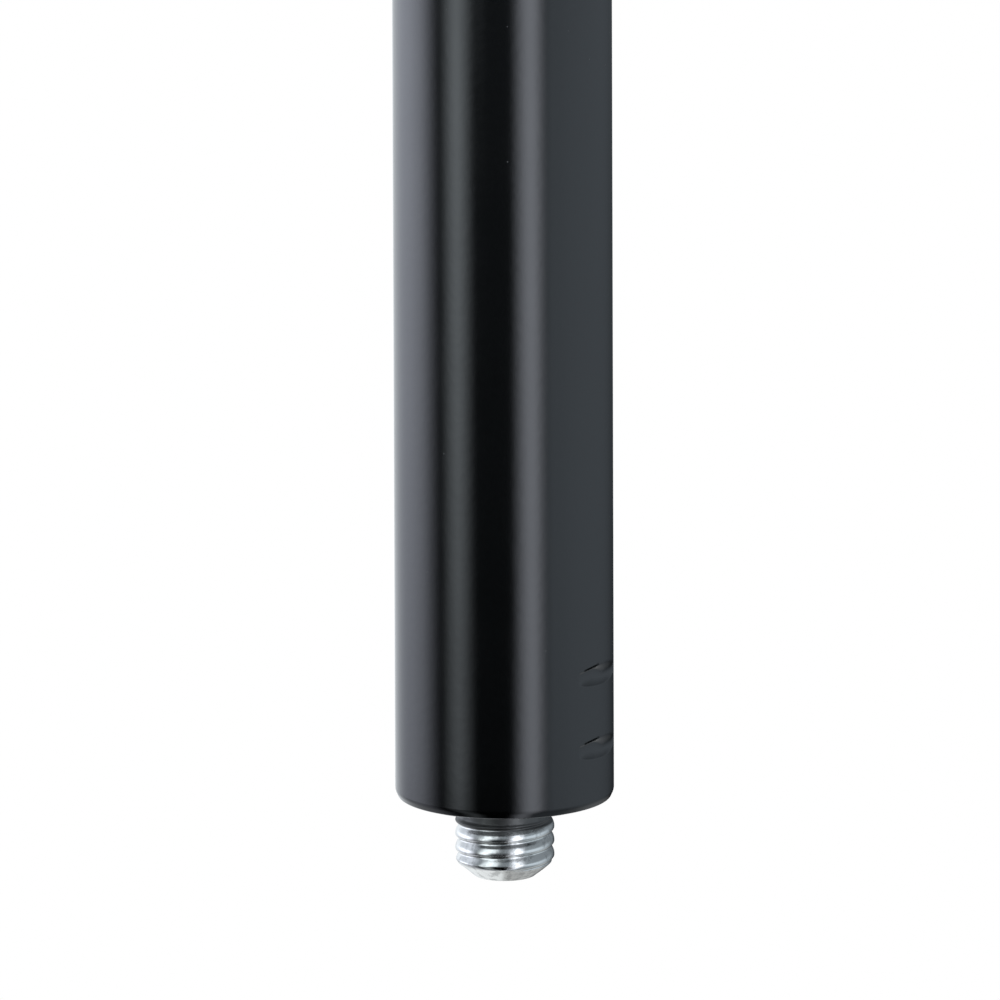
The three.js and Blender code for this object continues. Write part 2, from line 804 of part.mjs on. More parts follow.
const lowerPole = bodyGroup([
  lowerTube(),
  endPlug(),
  threadedStud(),
  guideBush(),
  clampCollar(),
  collarScrewAt("collar_screw_front", -1),
  collarScrewAt("collar_screw_back", 1),
]);
const clampFixed = bodyGroup([threadedInsert()], collar.clampAxis, 90 * degree);
const clampShoe = bodyGroup([pressureShoe()], collar.clampAxis, 90 * degree);
const clampTurning = bodyGroup([clampScrew(), clampKnob(), knobCover()], collar.clampAxis, 90 * degree);
const upperPole = bodyGroup([
  upperTube(),
  bottomGlide(),
  crossPin("glide_pin", glide.pinRadius, glide.pinHeight, glide.radius),
  supportFlange(),
  crossPin("flange_pin", flange.pinRadius, flange.pinHeight, flange.hubRadius),
  adapterSleeve(),
  sleeveRivet("sleeve_rivet_front", -1),
  sleeveRivet("sleeve_rivet_back", 1),
  topCap(),
]);
const pinGroup = bodyGroup([lockingPin(), pinPull()], pin.height, -90 * degree);

const pole = new THREE.Group();
pole.add(lowerPole, clampFixed, clampShoe, clampTurning, upperPole, pinGroup);
// The ranges of the two slides that these sizes give
pole.userData = { heightStroke: stroke, clampTravel: screw.travel };

export default pole;
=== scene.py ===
"""Looks of the loudspeaker pole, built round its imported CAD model.

Everything is in metres in the frame of the model: +Z up, the origin in the middle of the seat
under the lower tube, the front towards -Y, the clamp knob towards +X and the locking pin's head
towards -X. The camera looks at the lower end, with the threaded stud, as in the photograph.
"""

import math

import bmesh
import bpy
import numpy as np
from bpy.props import FloatProperty, FloatVectorProperty, IntProperty, PointerProperty
from mathutils import Matrix, Vector


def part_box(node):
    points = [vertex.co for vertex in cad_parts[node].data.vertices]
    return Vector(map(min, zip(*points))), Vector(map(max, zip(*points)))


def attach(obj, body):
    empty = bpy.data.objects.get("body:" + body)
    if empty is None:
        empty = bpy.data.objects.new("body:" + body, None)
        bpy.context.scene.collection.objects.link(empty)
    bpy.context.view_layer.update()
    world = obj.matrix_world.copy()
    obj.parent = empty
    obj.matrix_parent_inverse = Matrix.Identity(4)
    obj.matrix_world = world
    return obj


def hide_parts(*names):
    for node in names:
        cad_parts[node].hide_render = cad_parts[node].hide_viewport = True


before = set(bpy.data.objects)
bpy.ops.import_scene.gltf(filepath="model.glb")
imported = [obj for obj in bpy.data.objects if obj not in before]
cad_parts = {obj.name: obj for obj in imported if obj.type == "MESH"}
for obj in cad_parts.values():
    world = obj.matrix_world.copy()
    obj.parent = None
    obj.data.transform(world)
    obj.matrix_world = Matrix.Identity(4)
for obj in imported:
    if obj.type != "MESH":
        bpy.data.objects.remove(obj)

bl_info = {
    "name": "Loudspeaker pole",
    "version": (1, 0, 0),
    "blender": (4, 5, 0),
    "location": "3D View > Sidebar > Pole",
    "description": "Builds the visible surfaces and finishes of a loudspeaker pole",
    "category": "Object",
}

MM = 0.001
INCH = 0.0254
FULL_TURN = 2 * math.pi
PLAY = 0.3 * MM  # between a piece and the recess that it sits in
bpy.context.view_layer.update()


def low(node):
    """Lowest corner of a CAD node."""
    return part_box(node)[0]


def high(node):
    """Highest corner of a CAD node."""
    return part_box(node)[1]


def span(node):
    """Both corners of a CAD node, and the height of its middle."""
    lowest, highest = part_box(node)
    return lowest, highest, (lowest.z + highest.z) / 2


# Settings that a user would change


def length(name, description, default):
    """A length in the panel, in metres."""
    return FloatProperty(
        name=name, description=description, default=default, unit="LENGTH", precision=5
    )


def mm(name, description, default):
    """A length in the panel, from its default in millimetres."""
    return length(name, description, default * MM)


def angle(name, description, degrees):
    """An angle in the panel."""
    return FloatProperty(
        name=name,
        description=description,
        default=math.radians(degrees),
        subtype="ANGLE",
        unit="ROTATION",
    )


def share(name, description, default):
    """A share from 0 to 1 in the panel."""
    return FloatProperty(
        name=name, description=description, default=default, min=0, max=1, subtype="FACTOR"
    )


def level(name, description, default):
    """A brightness in the panel, where 1 is white."""
    return FloatProperty(name=name, description=description, default=default, min=0)


def colour(name, description, default):
    """A linear colour in the panel."""
    return FloatVectorProperty(
        name=name, description=description, default=default, size=3, min=0, max=1, subtype="COLOR"
    )


class TubeSettings(bpy.types.PropertyGroup):
    """Both tubes and the press marks in the lower one."""

    wall: mm("Wall", "Wall of both tubes", 2)
    edge_height: mm("Edge height", "Height of the lower tube's rounded edge", 1.25)
    edge_width: mm("Edge width", "Width of the lower tube's rounded edge", 1.35)
    edge_round: mm("Edge rounding", "Radius where the edge meets the side", 1.6)
    knee_width: mm("Knee width", "Width of the edge's steep part, outside its knee", 0.45)
    knee_height: mm("Knee height", "Height of the knee above the tube's lower face", 0.28)
    knee_round: mm("Knee rounding", "Radius at both ends of the slope below the knee", 0.3)
    mark_azimuth: angle("Mark azimuth", "Middle of the marks, from +X towards +Y", -28.5)
    mark_height: mm("First mark", "Height of the lower mark's upper edge", 11.75)
    mark_spacing: mm("Mark spacing", "From one mark to the one above", 12)
    mark_drop: mm("Mark drop", "From a mark's upper edge down to its lower edge", 3.5)
    mark_tilt: angle("Mark tilt", "Rise of the upper edge towards the right", 6.5)
    mark_fall: mm("Mark fall", "Radius of the upper edge's bend on the right", 12)
    mark_bow: mm("Mark bow", "Radius of the lower edge", 28)
    mark_half: mm("Mark half length", "Half the length of a mark round the tube", 6.2)
    mark_shift: mm("Mark shift", "Middle of the hollow, right of the mark's middle", 0.6)
    mark_depth: mm("Mark depth", "Depth of a mark's hollow", 0.43)
    cut_start: mm("Cut start", "Left end of the cut, left of the mark's middle", 4.5)
    cut_end: mm("Cut end", "Right end of the cut, left of the mark's middle", 0.3)
    cut_half: mm("Cut half width", "Half the width of the cut", 0.2)
    cut_depth: mm("Cut depth", "Depth of the cut", 0.45)


class ThreadSettings(bpy.types.PropertyGroup):
    """The stud and the end plug that it goes through."""

    diameter: length("Diameter", "Across the crests", 5 / 8 * INCH)
    pitch: length("Pitch", "From crest to crest", INCH / 11)
    depth_share: share("Depth", "Depth of the thread as a share of the pitch", 0.24)
    front_crest: mm("Front crest", "Depth below the seat of a crest at the front", 5.6)
    tip_radius: mm("Tip radius", "Radius of the flat end", 4.8)
    tip_length: mm("Tip length", "Height of the cone at the tip", 2.5)
    tip_round: mm("Tip rounding", "Rounding of the cone's lower edge", 0.8)
    tip_groove: share("Tip groove", "Share of the thread's depth left on the cone", 0.22)
    neck_length: mm("Neck length", "Plain neck between the seat and the thread", 3.9)
    neck_fade: mm("Neck fade", "Length over which the thread ends at the neck", 0.9)
    neck_drop: mm("Neck drop", "Depth of the neck below the thread's crests", 0.4)
    plug_clearance: mm("Plug clearance", "Gap between plug and stud", 0.3)
    head_flats: mm("Head flats", "Across the flats of the stud's head", 23.8)
    head_height: mm("Head height", "Height of the stud's head", 10.3)


class CollarSettings(bpy.types.PropertyGroup):
    """The cast clamp collar, its boss and rib, and its two screws."""

    barrel_radius: mm("Barrel", "Outer radius of the barrel", 22.8)
    skirt_bore: mm("Skirt bore", "Bore over the lower tube", 17.8)
    bore: mm("Bore", "Bore round the upper tube", 14.6)
    lip_height: mm("Lip", "Height of the step between the two bores", 702.1)
    chamfer: mm("Edge", "Size of the rounded edges", 1.5)
    boss_radius: mm("Boss", "Radius of the boss", 12)
    fillet: mm("Fillet", "Fillet between boss and barrel", 2.2)
    rib_thickness: mm("Rib", "Thickness of the rib", 6)
    rib_foot: mm("Rib foot", "Height of the rib's foot", 677.5)
    rib_fillet: mm("Rib fillet", "Fillet between rib and barrel", 1.2)
    bead_offset: mm("Bead", "Height of the groove above the lower edge", 7)
    bead_height: mm("Bead height", "Height of the groove", 2.4)
    bead_depth: mm("Bead depth", "Depth of the groove", 0.8)
    slot_width: mm("Slot width", "Width of the screws' slots", 1.1)
    slot_depth: mm("Slot depth", "Depth of the screws' slots", 1.1)
    screw_head: mm("Screw head", "Height of the screws' heads", 2.2)
    screw_shank: mm("Screw shank", "Radius of the screws' shanks", 1.75)
    insert_bore: mm("Insert bore", "Radius of the boss's bore for the insert", 6.3)
    insert_seat: mm("Insert seat", "Depth of the seat of the insert's flange", 1.8)


class ClampSettings(bpy.types.PropertyGroup):
    """The clamp screw, its knob and its insert."""

    screw_pitch: mm("Screw pitch", "Pitch of the clamp screw", 1.25)
    screw_radius: mm("Screw", "Radius of the clamp screw over its thread", 3.85)
    screw_bore: mm("Screw bore", "Radius of the holes for the clamp screw", 4.15)
    screw_point: mm("Screw point", "Height and width of the cone at the point", 0.8)
    screw_flats: mm("Screw flats", "Across the flats of the clamp screw's head", 13)
    screw_head: mm("Screw head", "Height of the clamp screw's head", 5.3)
    head_depth: mm("Head depth", "Depth of the head's floor behind the grip's face", 5)
    insert_radius: mm("Insert", "Radius of the insert's shank", 6)
    insert_flange: mm("Insert flange", "Thickness of the insert's flange", 1.5)
    hub_radius: mm("Hub", "Radius of the knob's hub", 9)
    hub_length: mm("Hub length", "Length of the knob's hub", 6)
    grip_radius: mm("Grip", "Radius over the lobes", 18)
    lobe_depth: mm("Lobe depth", "Depth of the hollows between the lobes", 2.2)
    lobes: IntProperty(name="Lobes", description="Lobes of the knob", default=6, min=3, max=12)
    edge_round: mm("Edge", "Rounding of the knob's edges", 2)


class TopSettings(bpy.types.PropertyGroup):
    """The upper tube's holes, the pieces at its top and the locking pin's pull."""

    hole_spacing: mm("Hole spacing", "Between the index holes", 50)
    hole_count: IntProperty(name="Holes", description="Number of index holes", default=10, min=1)
    hole_radius: mm("Hole radius", "Radius of the index holes", 3.3)
    hub_radius: mm("Hub", "Radius of the flange's hub", 20)
    disc_thickness: mm("Disc", "Thickness of the flange's disc", 6)
    register_depth: mm("Register", "Depth of the recess under the sleeve", 1)
    edge_round: mm("Edge", "Rounding of the flange's edges", 1.5)
    sleeve_chamfer: mm("Sleeve edge", "Rounding at the sleeve's top", 1)
    cap_edge: mm("Cap edge", "Height of the cap's rim", 2.7)
    cap_dome: mm("Cap dome", "Rise of the cap's domed top", 1.7)
    rivet_head: mm("Rivet head", "Height of the rivets' heads", 1.2)
    rivet_shank: mm("Rivet shank", "Radius of the rivets' shanks", 1.6)
    rivet_foot: mm("Rivet foot", "Radius of the rivets' feet", 2.6)
    rivet_foot_height: mm("Rivet foot height", "Height of the rivets' feet", 1.4)
    pull_neck: mm("Pull neck", "Radius of the neck of the pin's pull", 5.6)
    pull_neck_length: mm("Pull neck length", "Length of that neck", 4)
    pull_bore: mm("Pull bore", "Depth of the bore that holds the pin", 12)
    flute_depth: mm("Flute depth", "Depth of the grooves along the pull", 0.35)


class FinishSettings(bpy.types.PropertyGroup):
    """Colours and roughness of the finishes."""

    enamel: colour("Enamel", "Black gloss enamel of the tubes", (0.0006, 0.0007, 0.0007))
    enamel_roughness: share("Enamel roughness", "Roughness of the enamel", 0.13)
    peel_depth: mm("Orange peel", "Depth of the enamel's ripple", 0.012)
    dust: colour("Dust", "Dust specks on the enamel", (0.08, 0.08, 0.078))
    zinc: colour("Zinc", "Zinc plating", (0.61, 0.61, 0.59))
    # Darker and rougher zinc of the end plug
    dull_zinc: colour("Dull zinc", "Oiled zinc of the end plug", (0.34, 0.35, 0.35))
    # Painted shade: the stud's neck just under the tube is darkened between these two heights
    painted_shade_low: mm("Film from", "Lower edge of the paint film on the stud's neck", -4.2)
    painted_shade_high: mm("Film to", "Upper edge of the paint film on the stud's neck", -0.5)
    zinc_roughness: share("Zinc roughness", "Roughness of the zinc", 0.2)
    casting: colour("Casting", "Powder coat of the castings", (0.007, 0.0072, 0.0076))
    moulding: colour("Moulding", "Moulded black plastic", (0.0065, 0.0066, 0.0068))
    nylon: colour("Nylon", "Natural nylon", (0.66, 0.63, 0.55))
    brass: colour("Brass", "Brass of the insert", (0.72, 0.5, 0.2))


class StudioSettings(bpy.types.PropertyGroup):
    """The camera and the lights."""

    elevation: angle("Elevation", "Height of the camera above the horizon", 13.3)
    roll: angle("Roll", "Turn of the camera about its own axis", -0.19)
    distance: length("Distance", "From the camera to the stud", 5.78)
    focal: FloatProperty(
        name="Focal length", description="In millimetres on a 36 mm sensor", default=1300
    )
    aim_right: mm("Aim right", "Middle of the picture, right of the seat", -0.75)
    aim_up: mm("Aim up", "Middle of the picture, above the seat", 47.26)
    screen_radius: length("Screen radius", "Radius of the screen round the pole", 0.9)
    screen_foot: length("Screen foot", "Height of the screen's foot", -1.7)
    screen_head: length("Screen head", "Height of the screen's head", 2.6)
    floor_drop: length("Floor", "Depth of the floor below the seat", 0.35)
    ambient: level("Ambient", "Light from all round on matt surfaces", 0.7)
    key: FloatProperty(name="Key", description="Power of the overhead lamp, in watts", default=9)
    key_size: length("Key size", "Side of the overhead lamp", 1.4)


SETTINGS = {
    "tube": TubeSettings,
    "thread": ThreadSettings,
    "collar": CollarSettings,
    "clamp": ClampSettings,
    "top": TopSettings,
    "finish": FinishSettings,
    "studio": StudioSettings,
}


class PoleSettings(bpy.types.PropertyGroup):
    """All the settings, by piece."""

    __annotations__ = {name: PointerProperty(type=kind) for name, kind in SETTINGS.items()}


def settings():
    """The pole's settings in the current scene."""
    return bpy.context.scene.pole


# Surfaces: arrays of points with the shape (rows, columns, 3)

# Turns that bring the local Z axis to the named direction, as columns
TURNS = {
    "Z": np.eye(3),
    "X": np.array([[0, 0, 1], [1, 0, 0], [0, 1, 0]], float),
    "-X": np.array([[0, 0, -1], [0, 1, 0], [1, 0, 0]], float),
    "Y": np.array([[0, 1, 0], [0, 0, 1], [1, 0, 0]], float),
    "-Y": np.array([[1, 0, 0], [0, 0, -1], [0, 1, 0]], float),
}

# Section of the threads. Of a flank's width: the flat of the crest, and what its two roundings take
# of the rest. Of the pitch: the flank below a crest.
CREST, CREST_ROUND, ROOT_ROUND, LOWER_FLANK = 0.04, 0.6, 0.15, 0.3

# Holes: faces along each side of the patch round a hole, and the rounding of its rim
PATCH_SIDE, RIM_ROUND = 12, 0.25 * MM

# Press marks: share of the way down a hollow at which it is deepest, on the left and on the right
LIP_LEFT, LIP_RIGHT = 0.15, 0.6


def placed(points, direction, height):
    """Points turned so that their Z axis has the named direction, then raised by a height."""
    return points @ TURNS[direction].T + np.array([0, 0, height])


def rounded(corners, steps=7):
    """A profile with rounded corners. Each corner is (radius, height, rounding).

    An arc of the rounding's radius touches both edges: it starts at the distance rounding /
    tan(half the corner's angle) from the corner, and its centre lies on the corner's bisector.
    """
    corners = np.array(corners, float)
    parts = []
    for k, (x, y, size) in enumerate(corners):
        here = np.array([x, y])
        if size == 0:
            parts.append(here[None])
            continue
        to_last = corners[k - 1, :2] - here
        to_next = corners[(k + 1) % len(corners), :2] - here
        to_last /= np.linalg.norm(to_last)
        to_next /= np.linalg.norm(to_next)
        half = math.acos(np.clip(to_last @ to_next, -1, 1)) / 2
        bisector = (to_last + to_next) / np.linalg.norm(to_last + to_next)
        centre = here + bisector * size / math.sin(half)
        start = here + to_last * size / math.tan(half) - centre
        end = here + to_next * size / math.tan(half) - centre
        turn = np.unwrap([math.atan2(start[1], start[0]), math.atan2(end[1], end[0])])
        along = np.linspace(turn[0], turn[1], steps)
        parts.append(centre + size * np.stack([np.cos(along), np.sin(along)], -1))
    return np.concatenate(parts)


def angles(columns):
    """Evenly spaced angles round a full turn."""
    return np.arange(columns) * FULL_TURN / columns


def polar(radius, a, height):
    """Points from radius, angle and height, which are numbers or arrays that fit together."""
    radius, a, height = np.broadcast_arrays(radius, a, height)
    return np.stack([radius * np.cos(a), radius * np.sin(a), height], -1)


def turned(profile, columns=128, inwards=0):
    """A profile carried round the Z axis, with its radius less by inwards at each row and angle."""
    return polar(profile[:, :1] - inwards, angles(columns), profile[:, 1:])


def rings(rows, a):
    """Rings round the Z axis from (radius, height), with one radius or one for each angle."""
    return np.array([polar(radius, a, height) for radius, height in rows])


def hexagon_radius(a, flats):
    """Distance from the axis to a hexagon's edge at angle a, a corner lying at angle 0."""
    sixth = FULL_TURN / 6
    return flats / 2 / np.cos(np.mod(a, sixth) - sixth / 2)


def smoothstep(x):
    """0 below 0, 1 above 1, and 3x^2 - 2x^3 between."""
    x = np.clip(x, 0, 1)
    return x * x * (3 - 2 * x)



def threaded(radius_at, bottom, top, pitch, first_crest, depth, columns):
    """A right hand external thread from bottom to top, in rows that climb one pitch a turn.

    With x from 0 at the edge of the crest to 1 at the root, the depth's slope grows evenly over the
    crest's rounding, stays, and shrinks evenly over the root's rounding, where the rows lie
    closest. The flank below a crest is squeezed into its share of the pitch, and the one above it
    takes the rest. The radius is that of radius_at(height, depth). Rows below the bottom or above
    the top collapse onto it.
    """
    root_start = 1 - ROOT_ROUND
    stretches = (0, CREST_ROUND, 9), (CREST_ROUND, root_start, 4), (root_start, 1, 9)
    x = np.concatenate([[0], *(np.linspace(*stretch)[1:] for stretch in stretches)])
    start = np.minimum(x, CREST_ROUND) ** 2 / (2 * CREST_ROUND)
    flank = np.clip(x, CREST_ROUND, root_start) - CREST_ROUND
    end = ROOT_ROUND / 2 - np.minimum(1 - x, ROOT_ROUND) ** 2 / (2 * ROOT_ROUND)
    fall = depth * (start + flank + end) / (1 - CREST_ROUND / 2 - ROOT_ROUND / 2)
    fall = np.concatenate([fall[::-1], fall[:-1]])
    offset = CREST + (1 - CREST) * x
    offset = np.concatenate([-LOWER_FLANK * offset[::-1], (1 - LOWER_FLANK) * offset[:-1]])
    first_turn = math.floor((bottom - first_crest) / pitch) - 1
    turns = np.arange(first_turn, (top - first_crest) / pitch + 1)
    row_height = (first_crest + pitch * (turns[:, None] + offset)).reshape(-1, 1)
    row_depth = np.tile(fall, len(turns))[:, None]
    a = np.linspace(0, FULL_TURN, columns + 1)
    height = np.clip(row_height + pitch * a / FULL_TURN, bottom, top)
    return polar(radius_at(height, row_depth), a, height)


def quads(rows, columns, wrap_rows=False, wrap_columns=True, keep=None):
    """Faces between neighbouring points of a grid, as numbers of its points."""
    i = np.arange(rows if wrap_rows else rows - 1)[:, None]
    j = np.arange(columns if wrap_columns else columns - 1)[None, :]
    below, above = i * columns, (i + 1) % rows * columns
    after = (j + 1) % columns
    faces = np.stack([below + j, below + after, above + after, above + j], -1)
    return (faces if keep is None else faces[keep]).reshape(-1, 4)


class Shell:
    """Surfaces gathered into one mesh. Rows at one point close a pole once doubles are merged."""

    def __init__(self):
        self.points = []
        self.faces = []
        self.count = 0

    def add(self, points, wrap_rows=False, wrap_columns=True, keep=None):
        rows, columns = points.shape[:2]
        self.points.append(points.reshape(-1, 3))
        self.faces.append(quads(rows, columns, wrap_rows, wrap_columns, keep) + self.count)
        self.count += rows * columns
        return self

    def build(self, name, finish, sharp_angle=32):
        """The mesh object: doubles merged, normals outwards, smooth but for its sharp edges."""
        mesh = bpy.data.meshes.new(name)
        mesh.from_pydata(np.concatenate(self.points), [], np.concatenate(self.faces).tolist())
        whole = bmesh.new()
        whole.from_mesh(mesh)
        bmesh.ops.remove_doubles(whole, verts=whole.verts, dist=2e-6)
        bmesh.ops.recalc_face_normals(whole, faces=whole.faces)
        whole.to_mesh(mesh)
        whole.free()
        mesh.shade_smooth()
        mesh.set_sharp_from_angle(angle=math.radians(sharp_angle))
        mesh.materials.append(finish)
        return linked(name, mesh)

    def piece(self, name, body, slot, node, finish=None, sharp_angle=32):
        """A piece that rides on its body, stands for its CAD node and has its slot's finish."""
        piece = self.build(name, material(finish or slot), sharp_angle)
        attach(piece, body)
        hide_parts(node)


def linked(name, data):
    """A new object in the scene."""
    made = bpy.data.objects.new(name, data)
    bpy.context.scene.collection.objects.link(made)
    return made


def solid(corners, direction="Z", height=0.0, closed=False, columns=128):
    """A turned shell from its corners. An open profile starts and ends on the axis."""
    points = placed(turned(rounded(corners), columns), direction, height)
    return Shell().add(points, wrap_rows=closed)


def drilled(corners, holes, half_angle, half_height, steps=7):
    """A turned ring from its corners, with round holes that cross it at right angles.

    Each hole is (azimuth, height, radius, depth radius, through). Round it the shell leaves out a
    patch, a rectangle of angle and height. There a surface runs from the patch's border, straight
    in angle and height, to the hole's rim, over a small round and down the hole, to a flat floor
    at the depth radius or to the same patch on the inside.
    """
    same = 1e-7  # radii closer than this count as one
    profile = rounded(corners, steps)
    ramp = np.linspace(-1, 1, PATCH_SIDE + 1)
    a = angles(144)
    for azimuth in sorted({hole[0] for hole in holes}):
        away = np.abs((a - azimuth + math.pi) % FULL_TURN - math.pi)
        a = np.append(a[away > half_angle * 1.02], azimuth + ramp * half_angle)
    a = np.unique(np.round(np.mod(a, FULL_TURN), 9))
    # Rows that the patches need go into the upright stretches of the profile
    rows = [profile[:1]]
    heights = sorted({hole[1] for hole in holes})
    wanted = np.concatenate([height + ramp * half_height for height in heights])
    for start, end in zip(profile, np.roll(profile, -1, 0)):
        if abs(start[0] - end[0]) < same and (start != profile[-1]).any():
            between = wanted[(wanted > min(start[1], end[1])) & (wanted < max(start[1], end[1]))]
            between = between if end[1] > start[1] else between[::-1]
            rows.append(np.stack([np.full(len(between), start[0]), between], -1))
        rows.append(end[None])
    path = np.concatenate(rows)[:-1]
    next_path = np.roll(path, -1, 0)
    middle = (path + next_path) / 2
    upright = np.abs(path[:, 0] - next_path[:, 0]) < same
    middle_angle = (a + np.append(a[1:], a[0] + FULL_TURN)) / 2
    keep = np.ones((len(path), len(a)), bool)
    shell = Shell()
    for azimuth, height, radius, depth, through in holes:
        walls = upright & (np.abs(middle[:, 1] - height) < half_height)
        wall = middle[walls, 0].max()
        walls &= (middle[:, 0] > wall - 10 * same) | through
        away = np.abs((middle_angle - azimuth + math.pi) % FULL_TURN - math.pi)
        keep &= ~(walls[:, None] & (away < half_angle)[None])
        surface = hole_surface(wall, radius, depth, through, half_angle, half_height)
        turn = np.array(Matrix.Rotation(azimuth, 3, "Z"))
        shell.add(surface @ turn.T + np.array([0, 0, height]))
    return shell.add(polar(path[:, :1], a, path[:, 1:]), wrap_rows=True, keep=keep)


def hole_surface(wall, radius, depth, through, half_angle, half_height):
    """One hole along +X through a wall of the given radius, from its patch's border inwards."""
    ramp = np.linspace(-1, 1, PATCH_SIDE + 1)[:-1]
    ones = np.ones(PATCH_SIDE)
    right = np.concatenate([ramp, ones, -ramp, -ones])
    upwards = np.concatenate([-ones, ramp, ones, -ramp])
    across, up = right * half_angle, upwards * half_height
    direction = np.arctan2(upwards, right)

    def patch(wall_radius, hole_radius, blend):
        """Angle and height between the border at blend 0 and the hole's circle at blend 1."""
        rim = np.arcsin(hole_radius * np.cos(direction) / wall_radius)
        turn = across + (rim - across) * blend
        return polar(wall_radius, turn, up + (hole_radius * np.sin(direction) - up) * blend)

    blends = np.linspace(0, 1, 7)[:, None]
    rounding = np.linspace(0, math.pi / 2, 5)[1:, None]
    grown = radius + RIM_ROUND * (1 - np.sin(rounding))
    inset = RIM_ROUND * (1 - np.cos(rounding))
    rows = [patch(wall, radius + RIM_ROUND, blends), patch(wall - inset, grown, 1)]
    if through:
        rows.append(patch(depth + inset[::-1], grown[::-1], 1))
        rows.append(patch(depth, radius + RIM_ROUND, blends[::-1]))
    else:
        circle = np.stack([0 * up, radius * np.cos(direction), radius * np.sin(direction)], -1)
        shrink = np.linspace(1, 0, 4)[:, None, None]
        rows.append(circle[None] * shrink + np.array([depth, 0, 0]))
    return np.concatenate(rows)


# Shader nodes


def new_group(name, inputs, outputs):
    """An empty shader node group. Inputs are (name, kind, default) and outputs (name, kind)."""
    group = bpy.data.node_groups.new(name, "ShaderNodeTree")
    for socket, kind, default in inputs:
        made = group.interface.new_socket(socket, in_out="INPUT", socket_type="NodeSocket" + kind)
        made.default_value = default
    for socket, kind in outputs:
        group.interface.new_socket(socket, in_out="OUTPUT", socket_type="NodeSocket" + kind)
    return group


class Tree:
    """Short ways to add and link nodes in one node tree."""

    def __init__(self, tree):
        self.tree = tree
        tree.nodes.clear()

    def node(self, kind, inputs=(), **attributes):
        """A node with its attributes set. Inputs are values or sockets, by name or number."""
        made = self.tree.nodes.new(kind)
        for name, value in attributes.items():
            setattr(made, name, value)
        for key, value in dict(inputs).items():
            if isinstance(value, bpy.types.NodeSocket):
                self.tree.links.new(value, made.inputs[key])
            else:
                made.inputs[key].default_value = value
        return made

    def math(self, operation, first, second=0.0, clamp=False):
        """The result of a Math node."""
        inputs = {0: first, 1: second}
        return self.node("ShaderNodeMath", inputs, operation=operation, use_clamp=clamp).outputs[0]

    def ramp(self, value, start, end, low=0.0, high=1.0, smooth=True):
        """A value brought from start..end to low..high, clamped."""
        made = self.node(
            "ShaderNodeMapRange",
            {"Value": value, "From Min": start, "From Max": end, "To Min": low, "To Max": high},
            interpolation_type="SMOOTHSTEP" if smooth else "LINEAR",
        )
        return made.outputs["Result"]

    def mix(self, factor, first, second, blend="MIX"):
        """A mix of two colours."""
        kind = {"data_type": "RGBA", "blend_type": blend, "clamp_factor": False}
        made = self.node("ShaderNodeMix", {"Factor": factor}, **kind)
        for socket, value in ((made.inputs[6], first), (made.inputs[7], second)):
            if isinstance(value, bpy.types.NodeSocket):
                self.tree.links.new(value, socket)
            else:
                socket.default_value = (*value[:3], 1)
        return made.outputs[2]


def tree_of(owner):
    """The emptied node tree of a material or a world."""
    owner.use_nodes = True
    return Tree(owner.node_tree)


def grain_group():
    """Fine grain: noise of a given size, as a height from 0 to 1 and a soft mask of its peaks."""
    group = new_group(
        "fine_grain",
        [("Vector", "Vector", (0, 0, 0)), ("Size", "Float", MM), ("Coverage", "Float", 0.5)],
        [("Height", "Float"), ("Mask", "Float")],
    )
    t = Tree(group)
    inside = t.node("NodeGroupInput")
    scale = t.math("DIVIDE", 1.0, inside.outputs["Size"])
    noise = t.node(
        "ShaderNodeTexNoise",
        {"Vector": inside.outputs["Vector"], "Scale": scale, "Detail": 3.0, "Roughness": 0.55},
    ).outputs[0]
    edge = t.math("SUBTRACT", 0.75, t.math("MULTIPLY", inside.outputs["Coverage"], 0.5))
    mask = t.ramp(noise, edge, t.math("ADD", edge, 0.15))
    t.node("NodeGroupOutput", {"Height": noise, "Mask": mask})
    return group


def speck_group():
    """Dust: small round specks, one in few cells of a grid of the given size, as a mask."""
    group = new_group(
        "dust_specks",
        [("Vector", "Vector", (0, 0, 0)), ("Spacing", "Float", 3 * MM), ("Amount", "Float", 0.3)],
        [("Mask", "Float")],
    )
    t = Tree(group)
    inside = t.node("NodeGroupInput")
    scale = t.math("DIVIDE", 1.0, inside.outputs["Spacing"])
    cells = t.node(
        "ShaderNodeTexVoronoi",
        {"Vector": inside.outputs["Vector"], "Scale": scale, "Randomness": 1.0},
    )
    near = t.ramp(cells.outputs["Distance"], 0.035, 0.015)
    chosen = t.node("ShaderNodeSeparateColor", {"Color": cells.outputs["Color"]}).outputs[0]
    kept = t.math("LESS_THAN", chosen, inside.outputs["Amount"])
    t.node("NodeGroupOutput", {"Mask": t.math("MULTIPLY", near, kept)})
    return group


SHARED = {"fine_grain": grain_group, "dust_specks": speck_group}


